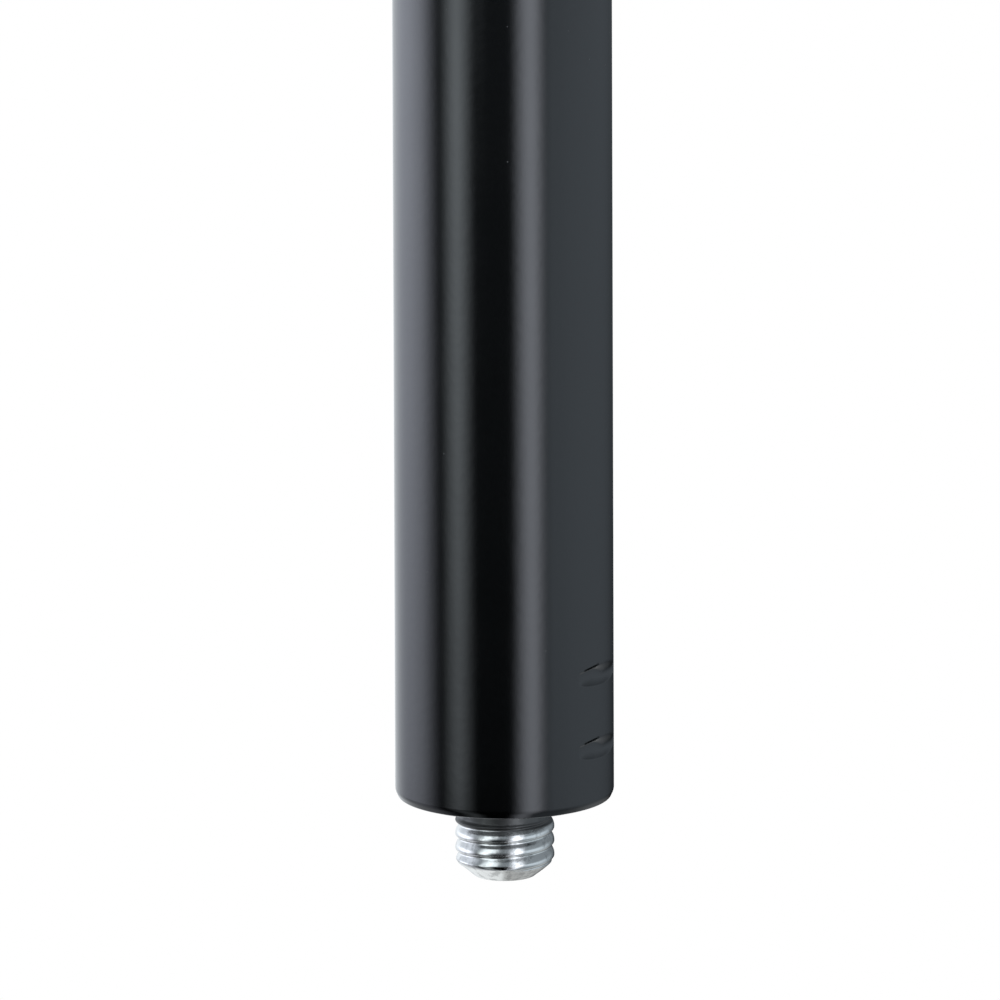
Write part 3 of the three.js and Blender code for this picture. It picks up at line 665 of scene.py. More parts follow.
class Finish(Tree):
    """A new material with a Principled shader, Object coordinates and the shared groups."""

    def __init__(self, name, base, roughness, metallic=0.0):
        self.material = bpy.data.materials.new(name)
        self.material.use_nodes = True
        super().__init__(self.material.node_tree)
        inputs = {"Base Color": (*base, 1), "Roughness": roughness, "Metallic": metallic}
        self.shader = self.node("ShaderNodeBsdfPrincipled", inputs)
        self.node("ShaderNodeOutputMaterial", {"Surface": self.shader.outputs[0]})
        place = self.node("ShaderNodeTexCoord").outputs["Object"]
        self.place = self.node("ShaderNodeMapping", {"Vector": place}).outputs[0]

    def shared(self, name, **inputs):
        """The outputs of a shared group, made when first asked for, with values of its own."""
        group = bpy.data.node_groups.get(name) or SHARED[name]()
        inputs = {"Vector": self.place, **inputs}
        return self.node("ShaderNodeGroup", inputs, node_tree=group).outputs

    def grain(self, size, coverage=0.5):
        """Fine grain of a size, as Height and Mask."""
        return self.shared("fine_grain", Size=size, Coverage=coverage)

    def bump(self, height, distance, strength=1.0, **normal):
        """A bump of the given depth, laid over another Normal where one is given."""
        inputs = {"Height": height, "Distance": distance, "Strength": strength, **normal}
        return self.node("ShaderNodeBump", inputs).outputs[0]

    def dressed(self, tint, gloss, normal):
        """The material, with its colour, roughness and normal linked."""
        for socket, value in (("Base Color", tint), ("Roughness", gloss), ("Normal", normal)):
            self.tree.links.new(value, self.shader.inputs[socket])
        return self.material


def scaled(base, factor):
    """A colour made darker or lighter by a factor."""
    return [channel * factor for channel in base]


def enamel(look):
    """Black gloss enamel: a faint orange peel, a little uneven gloss and a few dust specks."""
    f = Finish("black_enamel_finish", look.enamel, look.enamel_roughness)
    peel, haze = f.grain(1.6 * MM), f.grain(14 * MM)
    dust = f.shared("dust_specks", Spacing=3.2 * MM, Amount=0.35)["Mask"]
    rough = look.enamel_roughness
    gloss = f.ramp(haze["Height"], 0.3, 0.7, rough * 0.9, rough * 1.15)
    gloss = f.math("ADD", gloss, f.math("MULTIPLY", dust, 0.4), clamp=True)
    ripple = f.bump(peel["Height"], look.peel_depth)
    specks = f.bump(dust, 0.02 * MM, 0.6, Normal=ripple)
    return f.dressed(f.mix(dust, look.enamel, look.dust), gloss, specks)


def zinc(look):
    """Bright zinc: clouds of uneven gloss, fine grain, and a painted shade band on the neck."""
    f = Finish("zinc_steel_finish", look.zinc, look.zinc_roughness, 1.0)
    cloud, fine = f.grain(1.5 * MM), f.grain(0.25 * MM, 0.4)
    height = f.node("ShaderNodeSeparateXYZ", {0: f.place}).outputs["Z"]
    # Painted shade: a band of the stud's neck just under the tube, darker and a little rougher
    from_below = f.ramp(height, look.painted_shade_low - 0.2 * MM, look.painted_shade_low + 0.2 * MM)
    from_above = f.ramp(height, look.painted_shade_high, look.painted_shade_high + 0.3 * MM, 1, 0)
    painted_shade = f.math("MULTIPLY", from_below, from_above)
    bright = f.mix(cloud["Mask"], look.zinc, scaled(look.zinc, 0.7))
    rough = look.zinc_roughness
    gloss = f.ramp(cloud["Height"], 0.35, 0.7, rough * 0.7, rough * 1.4)
    gloss = f.math("ADD", gloss, f.math("MULTIPLY", painted_shade, 0.25), clamp=True)
    tint = f.mix(painted_shade, bright, scaled(look.zinc, 0.14))
    return f.dressed(tint, gloss, f.bump(fine["Height"], 0.004 * MM))


def dull_zinc(look):
    """Darker and rougher zinc, on the plug that nobody sees: dark clouds and a coarser grain."""
    f = Finish("dull_zinc_finish", look.dull_zinc, 0.5, 1.0)
    cloud, fine = f.grain(4 * MM), f.grain(0.4 * MM, 0.4)
    tint = f.mix(cloud["Mask"], look.dull_zinc, scaled(look.dull_zinc, 0.6))
    gloss = f.ramp(cloud["Height"], 0.35, 0.7, 0.42, 0.58)
    return f.dressed(tint, gloss, f.bump(fine["Height"], 0.01 * MM))


def powder_coat(look):
    """Black powder coat on a casting: a close leathery texture, a little lighter on its peaks."""
    f = Finish("cast_black_finish", look.casting, 0.42)
    coat = f.grain(0.7 * MM)
    tint = f.mix(coat["Mask"], look.casting, scaled(look.casting, 1.8))
    gloss = f.ramp(coat["Height"], 0.3, 0.7, 0.5, 0.34)
    return f.dressed(tint, gloss, f.bump(coat["Height"], 0.09 * MM))


def moulding(look):
    """Black moulded plastic: a fine spark eroded texture and an uneven sheen."""
    f = Finish("moulded_black_finish", look.moulding, 0.48)
    fine, broad = f.grain(0.35 * MM), f.grain(9 * MM)
    tint = f.mix(fine["Mask"], look.moulding, scaled(look.moulding, 1.5))
    gloss = f.ramp(broad["Height"], 0.3, 0.7, 0.42, 0.55)
    return f.dressed(tint, gloss, f.bump(fine["Height"], 0.035 * MM))


def nylon(look):
    """Natural nylon: off white, a touch darker in patches, with turning marks too fine to count."""
    f = Finish("nylon_finish", look.nylon, 0.42)
    patch, fine = f.grain(6 * MM), f.grain(0.4 * MM)
    tint = f.mix(patch["Mask"], look.nylon, scaled(look.nylon, 0.88))
    gloss = f.ramp(fine["Height"], 0.3, 0.7, 0.36, 0.5)
    return f.dressed(tint, gloss, f.bump(fine["Height"], 0.02 * MM))


def brass(look):
    """Turned brass, slightly tarnished in patches."""
    f = Finish("brass_finish", look.brass, 0.25, 1.0)
    patch, fine = f.grain(3 * MM), f.grain(0.3 * MM)
    tarnish = [channel * k for channel, k in zip(look.brass, (0.7, 0.66, 0.6))]
    tint = f.mix(f.math("MULTIPLY", patch["Mask"], 0.6), look.brass, tarnish)
    gloss = f.ramp(patch["Height"], 0.3, 0.7, 0.2, 0.38)
    return f.dressed(tint, gloss, f.bump(fine["Height"], 0.015 * MM))


MAKERS = {
    "black_enamel": enamel,
    "zinc_steel": zinc,
    "dull_zinc": dull_zinc,
    "cast_black": powder_coat,
    "moulded_black": moulding,
    "nylon": nylon,
    "brass": brass,
}


def material(slot):
    """The finish of a slot, made when it is first asked for."""
    return bpy.data.materials.get(slot + "_finish") or MAKERS[slot](settings().finish)


# Pieces


def mark_heights(tube):
    """Heights of the press marks' upper edges."""
    return [tube.mark_height + row * tube.mark_spacing for row in (0, 1)]


def mark_depth(a, height, tube, radius):
    """Depth of the press marks at an angle and a height of the tube, two high on opposite sides.

    Let u be the distance to the right of a mark's middle round the tube. Its upper edge rises by
    u tan(tilt), less u^2 / (2 fall) on the right, and its lower edge is the parabola that rises by
    (u - shift)^2 / (2 bow) above the drop. With t from 0 at the upper to 1 at the lower edge the
    hollow deepens smoothly up to its lip, which lies lower on the right, and then rises by the
    square of the rest, so that the lower edge is crisp. Along the mark the depth is a half circle.
    The tool's corner left a cut on the left of the upper edge, with the section of a parabola.
    """
    depth = 0 * (a + height)
    middle = -(tube.cut_start + tube.cut_end) / 2
    half = (tube.cut_start - tube.cut_end) / 2
    for upper in mark_heights(tube):
        for side in (0, math.pi):
            u = radius * (np.mod(a - tube.mark_azimuth - side + math.pi, FULL_TURN) - math.pi)
            rise = u * math.tan(tube.mark_tilt) - np.maximum(u, 0) ** 2 / (2 * tube.mark_fall)
            below = upper + rise - height
            bow = (u - tube.mark_shift) ** 2 / (2 * tube.mark_bow)
            t = below / np.maximum(tube.mark_drop + rise - bow, tube.cut_half)
            lip = LIP_LEFT + (LIP_RIGHT - LIP_LEFT) * smoothstep((u - middle) / tube.cut_start)
            climb = 1 - np.clip((t - lip) / (1 - lip), 0, 1) ** 2
            reach = np.sqrt(np.clip(1 - ((u - tube.mark_shift) / tube.mark_half) ** 2, 0, 1))
            hollow = tube.mark_depth * smoothstep(t / lip) * climb * reach
            s = np.clip(below / tube.cut_half, -1, 1)
            r = np.clip((u - middle) / half, -1, 1)
            cut = tube.cut_depth * (1 - s**2) * np.sqrt(1 - r**2)
            depth = np.maximum(depth, np.maximum(hollow, cut))
    return depth


class POLE_OT_lower_tube(bpy.types.Operator):
    """Builds the lower tube, with its rounded lower edge and the press marks"""

    bl_idname = "pole.lower_tube"
    bl_label = "Lower tube"

    def execute(self, context):
        tube = settings().tube
        radius, top = high("lower_tube").x, high("lower_tube").z
        bore = radius - tube.wall
        # Rows lie close across the marks, and columns close on both sides
        first, last = 7 * MM, 26 * MM
        close = [upper + np.arange(-4 * MM, 1.5 * MM, 0.08 * MM) for upper in mark_heights(tube)]
        rows = np.concatenate([np.arange(first, last, 0.4 * MM), *close])
        rows = np.unique(np.round(rows, 6))
        columns = np.radians(np.concatenate([np.arange(-20, 28, 0.45), np.arange(28, 160, 3)]))
        a = tube.mark_azimuth + np.concatenate([columns, math.pi + columns])
        edge = [
            (bore, 0, 0), (radius - tube.edge_width, 0, tube.knee_round),
            (radius - tube.knee_width, tube.knee_height, tube.knee_round),
            (radius, tube.edge_height, tube.edge_round), (radius, first, 0),
        ]
        mouth = [(radius, last, 0), (radius, top, 0.6 * MM), (bore, top, 0)]
        side = np.stack([radius + 0 * rows, rows], -1)
        profile = np.concatenate([rounded(edge, steps=10), side, rounded(mouth, steps=5)])
        outside = profile[:, :1] > radius - 1e-6
        inwards = outside * mark_depth(a, profile[:, 1:], tube, radius)
        shell = Shell().add(polar(profile[:, :1] - inwards, a, profile[:, 1:]), wrap_rows=True)
        shell.piece("lower_tube_enamelled", "lower_pole", "black_enamel", "lower_tube")
        return {"FINISHED"}


class POLE_OT_stud(bpy.types.Operator):
    """Builds the threaded stud and the end plug that holds it"""

    bl_idname = "pole.stud"
    bl_label = "Stud and end plug"

    def execute(self, context):
        thread = settings().thread
        radius = thread.diameter / 2
        bottom, top = low("threaded_stud").z, high("threaded_stud").z
        seat, neck = top - thread.head_height, radius - thread.neck_drop
        corners = [
            (0, bottom, 0), (thread.tip_radius, bottom, thread.tip_round),
            (radius, bottom + thread.tip_length, 2 * thread.tip_round),
            (radius, 0, 0),
        ]
        tip = rounded(corners)

        def radius_at(height, depth):
            """The thread within the tip's cone, ending at the plain neck under the seat."""
            cone = np.interp(height, tip[1:, 1], tip[1:, 0])
            above = np.clip((height - bottom) / thread.tip_round, 0, 1)
            cone = cone - thread.tip_groove * depth * above
            body = radius - depth
            start = smoothstep((height + thread.neck_length) / thread.neck_fade)
            return np.minimum(body + (neck - body) * start, cone)

        # At the front the thread has climbed three quarters of a pitch from its seam at angle 0
        first_crest = -thread.front_crest + thread.pitch / 4
        depth = thread.depth_share * thread.pitch
        columns = 216
        surface = threaded(radius_at, bottom, 0, thread.pitch, first_crest, depth, columns)
        a = angles(columns)
        head = hexagon_radius(a, thread.head_flats)
        crown = [(head, seat), (head, top - 0.5 * MM), (head - 0.8 * MM, top), (0, top)]
        shell = Shell().add(surface, wrap_columns=False)
        shell.add(rings([(0, bottom), (tip[1, 0], bottom)], a))
        shell.add(rings([(neck, 0), (radius, 0), (radius, seat), *crown], a))
        shell.piece("stud_threaded", "lower_pole", "zinc_steel", "threaded_stud", sharp_angle=50)

        plug, plug_top = high("end_plug").x, high("end_plug").z
        gap = thread.plug_clearance
        bore, floor = radius + gap, seat - gap
        a = angles(192)
        recess = hexagon_radius(a, thread.head_flats + 2 * gap)
        outside = [(bore, 0, 0.4 * MM), (plug, 0, 0.6 * MM), (plug, plug_top, 0.6 * MM)]
        inside = [(recess, plug_top), (recess, floor), (bore, floor)]
        shell = Shell().add(rings([*rounded(outside, steps=5), *inside], a), wrap_rows=True)
        shell.piece("plug_turned", "lower_pole", "zinc_steel", "end_plug", "dull_zinc")
        return {"FINISHED"}


def slotted_screw(node, direction):
    """A cheese head screw with a slot, as slices across the slot.

    At each place across the head the slice is a rectangle: as wide as the head's circle is there,
    from the seat up to the top, or to the slot's floor within the slot.
    """
    collar = settings().collar
    lowest, highest, height = span(node)
    head = (highest.x - lowest.x) / 2
    tip, top = sorted((abs(lowest.y), abs(highest.y)))
    seat = top - collar.screw_head
    half, wall = collar.slot_width / 2, 0.01 * MM
    across = np.sin(np.linspace(-math.pi / 2, math.pi / 2, 25)) * head
    across = np.sort(np.append(across, [-half - wall, -half, half, half + wall]))
    width = np.sqrt(np.clip(head**2 - across**2, 0, None))
    lid = np.where(np.abs(across) <= half + 1e-9, top - collar.slot_depth, top)
    foot = 0 * lid + seat
    edge = 0.3 * MM
    inner = np.clip(width - edge, 0, None)
    loop_x = np.stack([-width, width, width, inner, -inner, -width], -1)
    loop_z = np.stack([foot, foot, lid - edge, lid, lid, lid - edge], -1)
    slices = np.stack([loop_x, across[:, None] + 0 * loop_x, loop_z], -1)
    cap = slices.mean(1, keepdims=True) + 0 * slices
    shank, joint = collar.screw_shank, seat + edge
    corners = [(0, tip, 0), (shank, tip, 0.3 * MM), (shank, joint, 0), (0, joint, 0)]
    shell = Shell().add(placed(np.concatenate([cap[:1], slices, cap[-1:]]), direction, height))
    shell.add(placed(turned(rounded(corners), 48), direction, height))
    shell.piece(node + "_slotted", "lower_pole", "zinc_steel", node)


class POLE_OT_collar(bpy.types.Operator):
    """Builds the cast clamp collar with its boss and rib, and its two screws"""

    bl_idname = "pole.collar"
    bl_label = "Clamp collar and screws"

    def execute(self, context):
        collar = settings().collar
        bottom, top = low("clamp_collar").z, high("clamp_collar").z
        radius, edge = collar.barrel_radius, collar.chamfer
        bead = bottom + collar.bead_offset
        hollow = radius - collar.bead_depth
        soft = 0.4 * MM
        corners = [
            (collar.skirt_bore, bottom, soft), (radius, bottom, edge),
            (radius, bead, soft), (hollow, bead + collar.bead_depth, soft),
            (hollow, bead + collar.bead_height - collar.bead_depth, soft),
            (radius, bead + collar.bead_height, soft), (radius, top, edge),
            (collar.bore, top, soft * 2), (collar.bore, collar.lip_height, 0),
            (collar.skirt_bore, collar.lip_height, 0),
        ]
        lowest, highest, height = span("collar_screw_front")
        seat = abs(lowest.y) - collar.screw_head - PLAY
        holes = [(s * math.pi / 2, height, highest.x + PLAY, seat, False) for s in (-1, 1)]
        shell = drilled(corners, holes, half_angle=math.radians(16), half_height=6 * MM)
        self.add_boss(shell, collar)
        self.add_rib(shell, collar)
        shell.piece("collar_cast", "lower_pole", "cast_black", "clamp_collar")
        slotted_screw("collar_screw_front", "-Y")
        slotted_screw("collar_screw_back", "Y")
        return {"FINISHED"}

    def add_boss(self, shell, collar):
        """The boss along +X, with the insert's seat in its face.

        Its foot is a fillet: offset from the barrel's surface, X rises by fillet (1 - cos b) as the
        radius shrinks by fillet sin b.
        """
        lowest, highest, height = span("threaded_insert")
        face, flange, shank = highest.x, highest.y + PLAY, collar.insert_bore
        floor, step = lowest.x - PLAY, face - collar.insert_seat
        radius, barrel = collar.boss_radius, collar.barrel_radius
        nose = [
            (0, floor, 0), (shank, floor, 0), (shank, step, 0), (flange, step, 0),
            (flange, face, 0.3 * MM), (radius, face, collar.chamfer),
            (radius, barrel + collar.fillet, 0),
        ]
        a = angles(128)
        b = np.linspace(math.pi / 2, 0, 10)[:, None]
        spread = radius + collar.fillet * (1 - np.sin(b)) + 0 * a
        surface = np.sqrt(barrel**2 - (spread * np.cos(a)) ** 2)
        foot = polar(spread, a, surface + collar.fillet * (1 - np.cos(b)) - 0.02 * MM)
        # The boss ends inside the barrel's wall, where nothing shows its end
        hidden = rings([(0.8 * radius, 0.78 * barrel), (0, 0.78 * barrel)], a)
        points = np.concatenate([turned(rounded(nose)), foot, hidden])
        shell.add(placed(points, "X", height))

    def add_rib(self, shell, collar):
        """The rib under the boss, as level slices whose depth grows evenly with height.

        Half a slice runs from inside the barrel, round a hollow fillet of quarter circle section,
        out along the rib's side and round its outer corner. Both radii shrink with the rib's depth.
        """
        _, highest, middle = span("threaded_insert")
        half = collar.rib_thickness / 2
        start = collar.barrel_radius - 0.4 * MM
        end = highest.x - 2 * collar.chamfer
        head = middle - collar.boss_radius / 2
        climb = np.linspace(0, 1, 24)[:, None]
        height = collar.rib_foot + (head - collar.rib_foot) * climb
        depth = (end - start) * climb
        fillet = np.minimum(collar.rib_fillet, depth / 2)
        corner = np.minimum(collar.chamfer, depth / 2)
        b = np.linspace(0, math.pi / 2, 7)
        sine, cosine = 1 - np.sin(b), 1 - np.cos(b)
        inside = 0 * depth + start - collar.fillet
        x = [inside, start + fillet * cosine, start + depth - corner * sine]
        y = [half + fillet, half + fillet * sine, half - corner * cosine]
        x, y = np.concatenate(x, 1), np.concatenate(y, 1)
        x = np.concatenate([x, x[:, ::-1]], 1)
        y = np.concatenate([-y, y[:, ::-1]], 1)
        points = np.stack([x, y, height + 0 * x], -1)
        cap = points.mean(1, keepdims=True) + 0 * points
        shell.add(np.concatenate([cap[:1], points, cap[-1:]]))


class POLE_OT_clamp(bpy.types.Operator):
    """Builds the clamp screw, the lobed knob, its cap and the brass insert"""

    bl_idname = "pole.clamp"
    bl_label = "Clamp"

    def execute(self, context):
        clamp = settings().clamp
        self.insert(clamp)
        self.screw(clamp)
        self.knob(clamp)
        self.cap()
        return {"FINISHED"}

    def insert(self, clamp):
        lowest, highest, height = span("threaded_insert")
        bore, shank, flange = clamp.screw_bore, clamp.insert_radius, highest.y
        step = highest.x - clamp.insert_flange
        corners = [
            (bore, lowest.x, 0), (shank, lowest.x, 0), (shank, step, 0),
            (flange, step, 0), (flange, highest.x, 0.25 * MM),
            (bore, highest.x, 0.5 * MM),
        ]
        shell = solid(corners, "X", height, closed=True, columns=96)
        shell.piece("insert_turned", "lower_pole", "brass", "threaded_insert")

    def screw(self, clamp):
        """A threaded shaft with a hexagon head, as radius over angle and height."""
        lowest, highest, height = span("clamp_screw")
        start, end = lowest.x, highest.x
        seat = end - clamp.screw_head
        radius, pitch = clamp.screw_radius, clamp.screw_pitch
        point, thread_end = radius - clamp.screw_point, seat - 1 * MM

        def radius_at(x, depth):
            """The thread within the point's cone, fading out towards the head."""
            fade = np.clip((thread_end - x) / pitch, 0, 1)
            return np.minimum(radius - depth * fade, point + x - start)

        columns = 60
        surface = threaded(radius_at, start, thread_end, pitch, start, 0.6 * pitch, columns)
        a = angles(columns)
        head = hexagon_radius(a, clamp.screw_flats)
        crown = [(head, seat), (head, end - 0.4 * MM), (head - 0.7 * MM, end), (0, end)]
        shell = Shell().add(placed(surface, "X", height), wrap_columns=False)
        for rows in ([(0, start), (point, start)], [(radius, thread_end), (radius, seat), *crown]):
            shell.add(placed(rings(rows, a), "X", height))
        shell.piece(
            "clamp_screw_threaded", "clamp_knob", "zinc_steel", "clamp_screw", sharp_angle=50
        )

    def knob(self, clamp):
        """A turned profile, its radius less by lobe depth (1 - cos(lobes a)) / 2 on the grip."""
        start, end = low("clamp_knob").x, high("clamp_knob").x
        lowest, highest, height = span("knob_cap")
        seat, shelf = (highest.z - lowest.z) / 2 + PLAY, lowest.x - PLAY
        body = start + clamp.hub_length
        floor = body + clamp.head_depth
        hub, radius, soft = clamp.hub_radius, clamp.grip_radius, clamp.edge_round
        bore, room = clamp.screw_bore, clamp.screw_flats / math.sqrt(3) + 0.4 * MM
        corners = [
            (bore, start, 0.3 * MM), (hub, start, 0.8 * MM), (hub, body, 1.2 * MM),
            (radius, body, soft), (radius, end, soft), (seat, end, 0.4 * MM),
            (seat, shelf, 0), (room, shelf, 0), (room, floor, 0), (bore, floor, 0),
        ]
        profile = rounded(corners, steps=9)
        inner = hub + 1 * MM
        grip = smoothstep((profile[:, :1] - inner) / (radius - soft - inner))
        hollow = clamp.lobe_depth * (1 - np.cos(clamp.lobes * angles(240))) / 2
        points = turned(profile, 240, grip * hollow)
        shell = Shell().add(placed(points, "X", height), wrap_rows=True)
        shell.piece("knob_lobed", "clamp_knob", "moulded_black", "clamp_knob")

    def cap(self):
        lowest, highest, height = span("knob_cap")
        radius, top = (highest.z - lowest.z) / 2, highest.x
        corners = [
            (0, lowest.x, 0), (radius, lowest.x, 0), (radius, top - 0.5 * MM, 0.6 * MM),
            (radius * 0.75, top - 0.05 * MM, 2 * MM), (0, top, 0),
        ]
        shell = solid(corners, "X", height)
        shell.piece("knob_cap_domed", "clamp_knob", "moulded_black", "knob_cap")


class POLE_OT_upper_tube(bpy.types.Operator):
    """Builds the upper tube with its index holes"""

    bl_idname = "pole.upper_tube"
    bl_label = "Upper tube"

    def execute(self, context):
        top = settings().top
        lowest, highest, _ = span("upper_tube")
        radius = highest.x
        bore = radius - settings().tube.wall
        corners = [
            (bore, lowest.z, 0.2 * MM), (radius, lowest.z, 0.5 * MM),
            (radius, highest.z, 0.5 * MM), (bore, highest.z, 0.2 * MM),
        ]
        first = span("locking_pin")[2]
        holes = [
            (azimuth, first - k * top.hole_spacing, top.hole_radius, bore, True)
            for k in range(top.hole_count)
            for azimuth in (0.0, math.pi)
        ]
        half_angle = math.radians(24)
        shell = drilled(corners, holes, half_angle, half_height=5.5 * MM, steps=4)
        shell.piece("upper_tube_enamelled", "upper_pole", "black_enamel", "upper_tube")
        return {"FINISHED"}


class POLE_OT_shoulder(bpy.types.Operator):
    """Builds the flange with its pin, the sleeve with its rivets and the top cap"""

    bl_idname = "pole.shoulder"
    bl_label = "Shoulder, sleeve and cap"

    def execute(self, context):
        top = settings().top
        self.flange(top)
        self.sleeve(top)
        self.cap(top)
        return {"FINISHED"}

    def flange(self, top):
        lowest, highest, _ = span("support_flange")
        sleeve, bore = high("adapter_sleeve").x + PLAY, high("upper_tube").x + PLAY
        face = highest.z
        underside, register = face - top.disc_thickness, face - top.register_depth
        edge = top.edge_round
        corners = [
            (bore, lowest.z, 0.4 * MM), (top.hub_radius, lowest.z, edge),
            (top.hub_radius, underside, edge), (highest.x, underside, edge),
            (highest.x, face, edge), (sleeve, face, 0.2 * MM),
            (sleeve, register, 0), (bore, register, 0),
        ]
        _, end, height = span("flange_pin")
        half, radius = end.y, end.x
        floor = bore + 2 * MM
        holes = [(s * math.pi / 2, height, radius + PLAY, floor, False) for s in (-1, 1)]
        shell = drilled(corners, holes, half_angle=math.radians(15), half_height=4.6 * MM)
        shell.piece("flange_cast", "upper_pole", "cast_black", "support_flange")
        pin = [(0, -half, 0), (radius, -half, 0.5 * MM), (radius, half, 0.5 * MM), (0, half, 0)]
        shell = solid(pin, "Y", height, columns=64)
        shell.piece("flange_pin_rounded", "upper_pole", "zinc_steel", "flange_pin")

    def sleeve(self, top):
        lowest, highest, _ = span("adapter_sleeve")
        radius, bore = highest.x, high("upper_tube").x + PLAY
        corners = [
            (bore, lowest.z, 0), (radius, lowest.z, 0.2 * MM),
            (radius, highest.z, top.sleeve_chamfer), (bore, highest.z, 0.2 * MM),
        ]
        front, back, height = span("sleeve_rivet_front")
        face, tip, head = -front.y, -back.y, back.x
        seat = face - top.rivet_head
        holes = [(s * math.pi / 2, height, head + PLAY, seat - PLAY, False) for s in (-1, 1)]
        shell = drilled(corners, holes, half_angle=math.radians(17), half_height=5.5 * MM)
        shell.piece("sleeve_moulded", "upper_pole", "moulded_black", "adapter_sleeve")
        foot, shank = top.rivet_foot, top.rivet_shank
        corners = [
            (0, tip, 0), (foot, tip, 0.5 * MM), (foot, tip + top.rivet_foot_height, 0),
            (shank, tip + top.rivet_foot_height, 0), (shank, seat, 0), (head, seat, 0),
            (head, face, 0.9 * MM), (0, face, 0),
        ]
        for node, direction in (("sleeve_rivet_front", "-Y"), ("sleeve_rivet_back", "Y")):
            shell = solid(corners, direction, height, columns=64)
            shell.piece(node + "_domed", "upper_pole", "zinc_steel", node)

    def cap(self, top):
        lowest, highest, _ = span("top_cap")
        radius, spigot = highest.x, high("upper_tube").x - settings().tube.wall - PLAY
        rim = highest.z - top.cap_dome
        seat = rim - top.cap_edge
        corners = [
            (0, lowest.z, 0), (spigot, lowest.z, 0.8 * MM), (spigot, seat, 0),
            (radius, seat, 0.3 * MM), (radius, rim, 1.2 * MM),
        ]
        for s in np.linspace(0.84, 0, 8):
            corners.append((radius * s, highest.z - top.cap_dome * s**2, 0))
        solid(corners).piece("top_cap_domed", "upper_pole", "moulded_black", "top_cap")


class POLE_OT_locking_pin(bpy.types.Operator):
    """Builds the locking pin and its pull"""

    bl_idname = "pole.locking_pin"
    bl_label = "Locking pin"

    def execute(self, context):
        top = settings().top
        lowest, highest, height = span("locking_pin")
        radius, tip, end = (highest.z - lowest.z) / 2, -highest.x, -lowest.x
        point = 1.2 * MM
        corners = [
            (0, tip, 0), (radius - point, tip, 0.5 * MM),
            (radius, tip + point, 0.8 * MM), (radius, end, 0), (0, end, 0),
        ]
        shell = solid(corners, "-X", height, columns=64)
        shell.piece("locking_pin_bright", "locking_pin", "zinc_steel", "locking_pin")

        lowest, highest, _ = span("pin_head")
        start, end, grip = -highest.x, -lowest.x, (highest.z - lowest.z) / 2
        bore, neck = radius + PLAY, top.pull_neck
        shoulder, floor = start + top.pull_neck_length, start + top.pull_bore
        corners = [
            (bore, start, 0.3 * MM), (neck, start, 0.6 * MM), (neck, shoulder, 1 * MM),
            (grip, shoulder, 1.4 * MM), (grip, end, 3 * MM), (0, end, 0), (0, floor, 0),
            (bore, floor, 0),
        ]
        profile = rounded(corners, steps=12)
        # Twenty shallow grooves along the pull give it grip
        straight = smoothstep((profile[:, :1] - 0.9 * grip) / (0.1 * grip))
        flute = top.flute_depth * np.clip(np.cos(20 * angles(320)), 0, 1) ** 2
        points = turned(profile, 320, straight * flute)
        shell = Shell().add(placed(points, "-X", height), wrap_rows=True)
        shell.piece("pin_pull_moulded", "locking_pin", "moulded_black", "pin_head")
        return {"FINISHED"}


CARRIED_OVER = {
    "guide_bush": "nylon",
    "bottom_glide": "nylon",
    "pressure_shoe": "nylon",
    "glide_pin": "zinc_steel",
}


class POLE_OT_inner_parts(bpy.types.Operator):
    """Gives the CAD nodes that stay inside the pole their finishes"""

    bl_idname = "pole.inner_parts"
    bl_label = "Inner parts"

    def execute(self, context):
        for node, finish in CARRIED_OVER.items():
            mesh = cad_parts[node].data
            mesh.materials.clear()
            mesh.materials.append(material(finish))
        return {"FINISHED"}


# Studio

# Panels of the screen round the pole. Each has the middles of its two soft edges, in degrees from
# CARD_AZIMUTH towards the right, the widths of those edges, its colour, and its levels at its base,
# foot, middle and head, where 1 is white paper. The card goes all round and fills the dark between
# the others: it is black at its base and foot and gives a little light above.
CARD_AZIMUTH = math.radians(-16)
PANELS = (
    ("card", -200, 560, 20, 20, (0.87, 1.0, 1.13), (0.0, 0.0, 0.11, 0.3)),
    ("key softbox", 33.5, 56, 23, 20, (0.93, 0.98, 1.09), (1.6, 2.4, 3.7, 1.9)),
    ("right wall", 61.5, 134, 16, 96, (0.87, 1.0, 1.13), (0.35, 0.87, 0.97, 0.08)),
    ("backdrop", 200, 238, 10, 40, (0.95, 1.0, 1.05), (0.6, 1.0, 1.0, 1.0)),
    ("back wall", 242, 293, 56, 34, (0.92, 0.97, 1.11), (0.4, 0.9, 2.8, 0.8)),
    ("left softbox", 317, 337, 26, 24, (0.92, 1.01, 1.07), (0.5, 0.45, 2.9, 1.5)),
    ("softbox wing", 335, 357, 12, 8, (0.92, 1.01, 1.07), (0.0, 0.0, 0.0, 1.1)),
    ("paper", 120, 270, 60, 60, (0.97, 1.0, 1.02), (0.6, 0.0, 0.0, 0.0)),
)
HEIGHTS = (-0.75, -0.3, -0.05, 0.14)  # of the base, the foot, the middle and the head

FLOOR_FADE = (0.55, 0.85)  # distances between which the floor fades out
LAMP_PLACE, LAMP_AIM = (0.25, -0.4, 1.9), (0, 0, 0.3)  # above the front, at the lower half



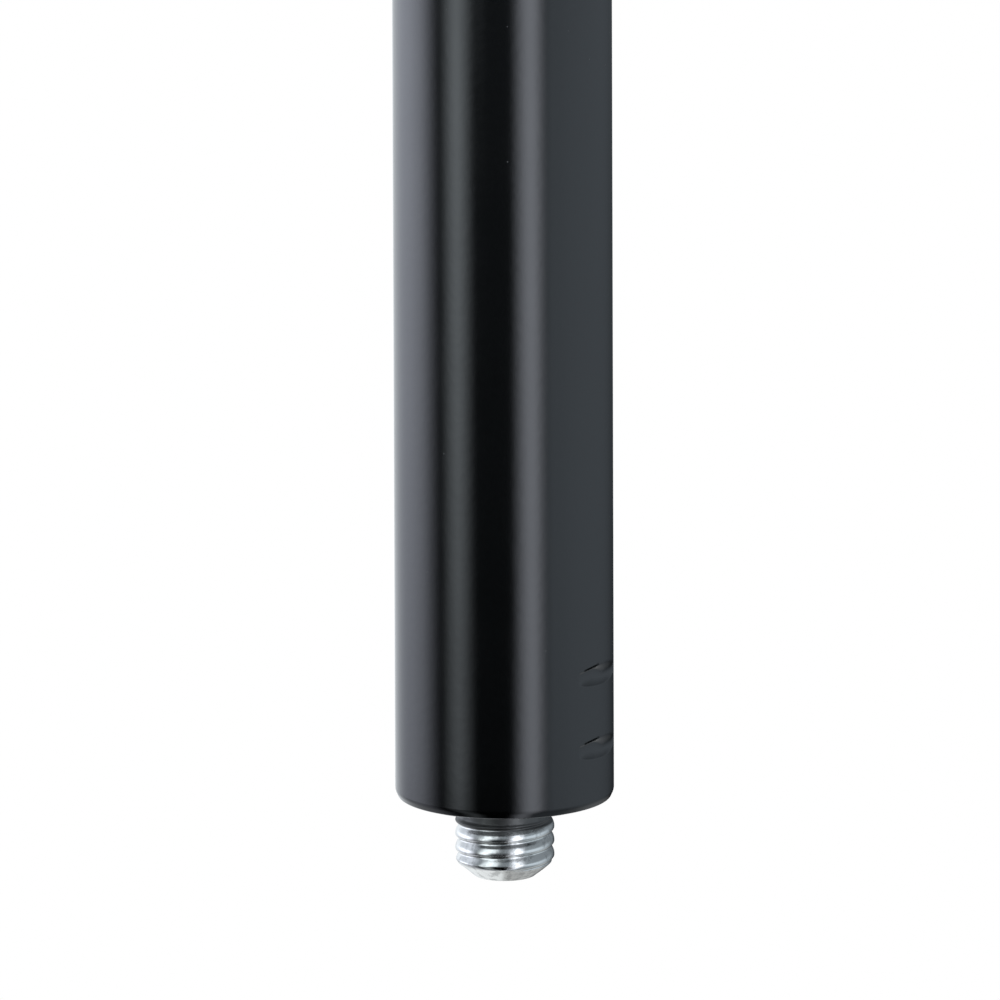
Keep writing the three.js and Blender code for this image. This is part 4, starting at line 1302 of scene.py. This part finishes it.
def screen_material():
    """The screen's light: each panel between its soft edges, fading with height, added up."""
    made = bpy.data.materials.new("studio_screen")
    t = tree_of(made)
    place = t.node("ShaderNodeTexCoord").outputs["Object"]
    axes = t.node("ShaderNodeSeparateXYZ", {0: place}).outputs
    front = t.math("MULTIPLY", axes["Y"], -1.0)
    turn = t.math("SUBTRACT", t.math("ARCTAN2", axes["X"], front), CARD_AZIMUTH)
    turn = t.node("ShaderNodeMath", {0: turn, 1: FULL_TURN, 2: 0.0}, operation="WRAP").outputs[0]
    degrees = t.math("MULTIPLY", turn, 360 / FULL_TURN)
    total = (0, 0, 0)
    for _, start, end, rise, fall, tint, levels in PANELS:
        opening = t.ramp(degrees, start - rise / 2, start + rise / 2)
        closing = t.ramp(degrees, end - fall / 2, end + fall / 2, 1, 0)
        brightness = levels[0]
        for k in (0, 1, 2):
            gain = levels[k + 1] - levels[k]
            step = t.ramp(axes["Z"], HEIGHTS[k], HEIGHTS[k + 1], 0, gain, smooth=False)
            brightness = t.math("ADD", brightness, step)
        mask = t.math("MULTIPLY", brightness, t.math("MULTIPLY", opening, closing))
        total = t.mix(mask, total, tint, "ADD")
    light = t.node("ShaderNodeEmission", {"Color": total})
    t.node("ShaderNodeOutputMaterial", {"Surface": light.outputs[0]})
    return made


def floor_material():
    """Pale floor: matt white that the camera sees a little lifted, fading out at its rim."""
    made = bpy.data.materials.new("studio_floor")
    t = tree_of(made)
    place = t.node("ShaderNodeTexCoord").outputs["Object"]
    seen = t.node("ShaderNodeLightPath").outputs["Is Camera Ray"]
    noise = t.node("ShaderNodeTexNoise", {"Vector": place, "Scale": 6.0}).outputs[0]
    paper = t.mix(noise, (0.78, 0.78, 0.78), (0.82, 0.82, 0.82))
    matt = t.node("ShaderNodeBsdfDiffuse", {"Color": paper}).outputs[0]
    lift = t.node("ShaderNodeEmission", {"Strength": t.math("MULTIPLY", seen, 0.25)})
    lit = t.node("ShaderNodeAddShader", {0: matt, 1: lift.outputs[0]}).outputs[0]
    away = t.node("ShaderNodeVectorMath", {0: place}, operation="LENGTH").outputs["Value"]
    clear = t.node("ShaderNodeBsdfTransparent").outputs[0]
    rim = t.ramp(away, *FLOOR_FADE)
    mixed = t.node("ShaderNodeMixShader", {0: rim, 1: lit, 2: clear}).outputs[0]
    t.node("ShaderNodeOutputMaterial", {"Surface": mixed})
    return made


class POLE_OT_studio(bpy.types.Operator):
    """Builds the floor, the screen round the pole, the lamp, the world and the camera"""

    bl_idname = "pole.studio"
    bl_label = "Studio"

    def execute(self, context):
        studio, scene = settings().studio, context.scene
        scene.view_settings.view_transform = "Standard"
        self.floor(studio)
        self.screen(studio)
        self.lamp(studio)
        scene.world = self.world(studio)
        scene.camera = self.camera(studio)
        return {"FINISHED"}

    def floor(self, studio):
        profile = np.array([[r, 0] for r in (0, 0.3, 0.6, studio.screen_radius - 0.02)])
        disc = Shell().add(turned(profile, 96)).build("floor", floor_material())
        disc.location.z = -studio.floor_drop
        disc.visible_glossy = False

    def screen(self, studio):
        radius, foot, head = studio.screen_radius, studio.screen_foot, studio.screen_head
        profile = np.array([[0, foot], [radius, foot], [radius, head]])
        made = Shell().add(turned(profile, 180)).build("screen", screen_material())
        made.visible_camera = False

    def lamp(self, studio):
        data = bpy.data.lights.new("overhead_lamp", "AREA")
        data.size = studio.key_size
        data.energy = studio.key
        lamp = linked("overhead_lamp", data)
        lamp.location = LAMP_PLACE
        aim = Vector(LAMP_AIM) - lamp.location
        lamp.rotation_euler = aim.to_track_quat("-Z", "Y").to_euler()
        lamp.visible_camera = False
        lamp.visible_glossy = False

    def world(self, studio):
        """The camera, glossy and transmitted rays see white, and matt surfaces get plain light."""
        world = bpy.data.worlds.new("studio_world")
        t = tree_of(world)
        path = t.node("ShaderNodeLightPath").outputs
        seen = t.math("ADD", path["Is Camera Ray"], path["Is Glossy Ray"])
        seen = t.math("ADD", seen, path["Is Transmission Ray"], clamp=True)
        white = {"Color": (1, 1, 1, 1)}
        plain = t.node("ShaderNodeBackground", {**white, "Strength": studio.ambient}).outputs[0]
        full = t.node("ShaderNodeBackground", {**white, "Strength": 1.0}).outputs[0]
        mixed = t.node("ShaderNodeMixShader", {0: seen, 1: plain, 2: full}).outputs[0]
        t.node("ShaderNodeOutputWorld", {"Surface": mixed})
        return world

    def camera(self, studio):
        """The camera's axes are right, up and back. It looks at a point off the seat by the aim."""
        up, back = math.sin(studio.elevation), math.cos(studio.elevation)
        axes = Matrix(((1, 0, 0), (0, up, -back), (0, back, up)))
        axes = axes @ Matrix.Rotation(studio.roll, 3, "Z")
        aim = axes @ Vector((studio.aim_right, studio.aim_up, 0))
        data = bpy.data.cameras.new("camera")
        data.lens, data.sensor_width = studio.focal, 36
        data.clip_start, data.clip_end = 0.1, 100
        camera = linked("camera", data)
        place = aim + axes.col[2] * studio.distance
        camera.matrix_world = Matrix.Translation(place) @ axes.to_4x4()
        return camera


OPERATORS = (
    POLE_OT_lower_tube,
    POLE_OT_stud,
    POLE_OT_collar,
    POLE_OT_clamp,
    POLE_OT_upper_tube,
    POLE_OT_shoulder,
    POLE_OT_locking_pin,
    POLE_OT_inner_parts,
    POLE_OT_studio,
)


class POLE_PT_panel(bpy.types.Panel):
    """The pole's settings and operators in the sidebar"""

    bl_label = "Loudspeaker pole"
    bl_idname = "POLE_PT_panel"
    bl_space_type = "VIEW_3D"
    bl_region_type = "UI"
    bl_category = "Pole"

    def draw(self, context):
        for name, kind in SETTINGS.items():
            box = self.layout.box()
            box.label(text=name.capitalize())
            for key in kind.__annotations__:
                box.prop(getattr(settings(), name), key)
        for operator in OPERATORS:
            self.layout.operator(operator.bl_idname)


CLASSES = (*SETTINGS.values(), PoleSettings, *OPERATORS, POLE_PT_panel)


def register():
    for kind in CLASSES:
        bpy.utils.register_class(kind)
    bpy.types.Scene.pole = PointerProperty(type=PoleSettings)


def unregister():
    del bpy.types.Scene.pole
    for kind in reversed(CLASSES):
        bpy.utils.unregister_class(kind)


def main():
    """Builds every piece and the stage."""
    register()
    for operator in OPERATORS:
        group, name = operator.bl_idname.split(".")
        getattr(getattr(bpy.ops, group), name)()


if __name__ == "__main__":
    main()
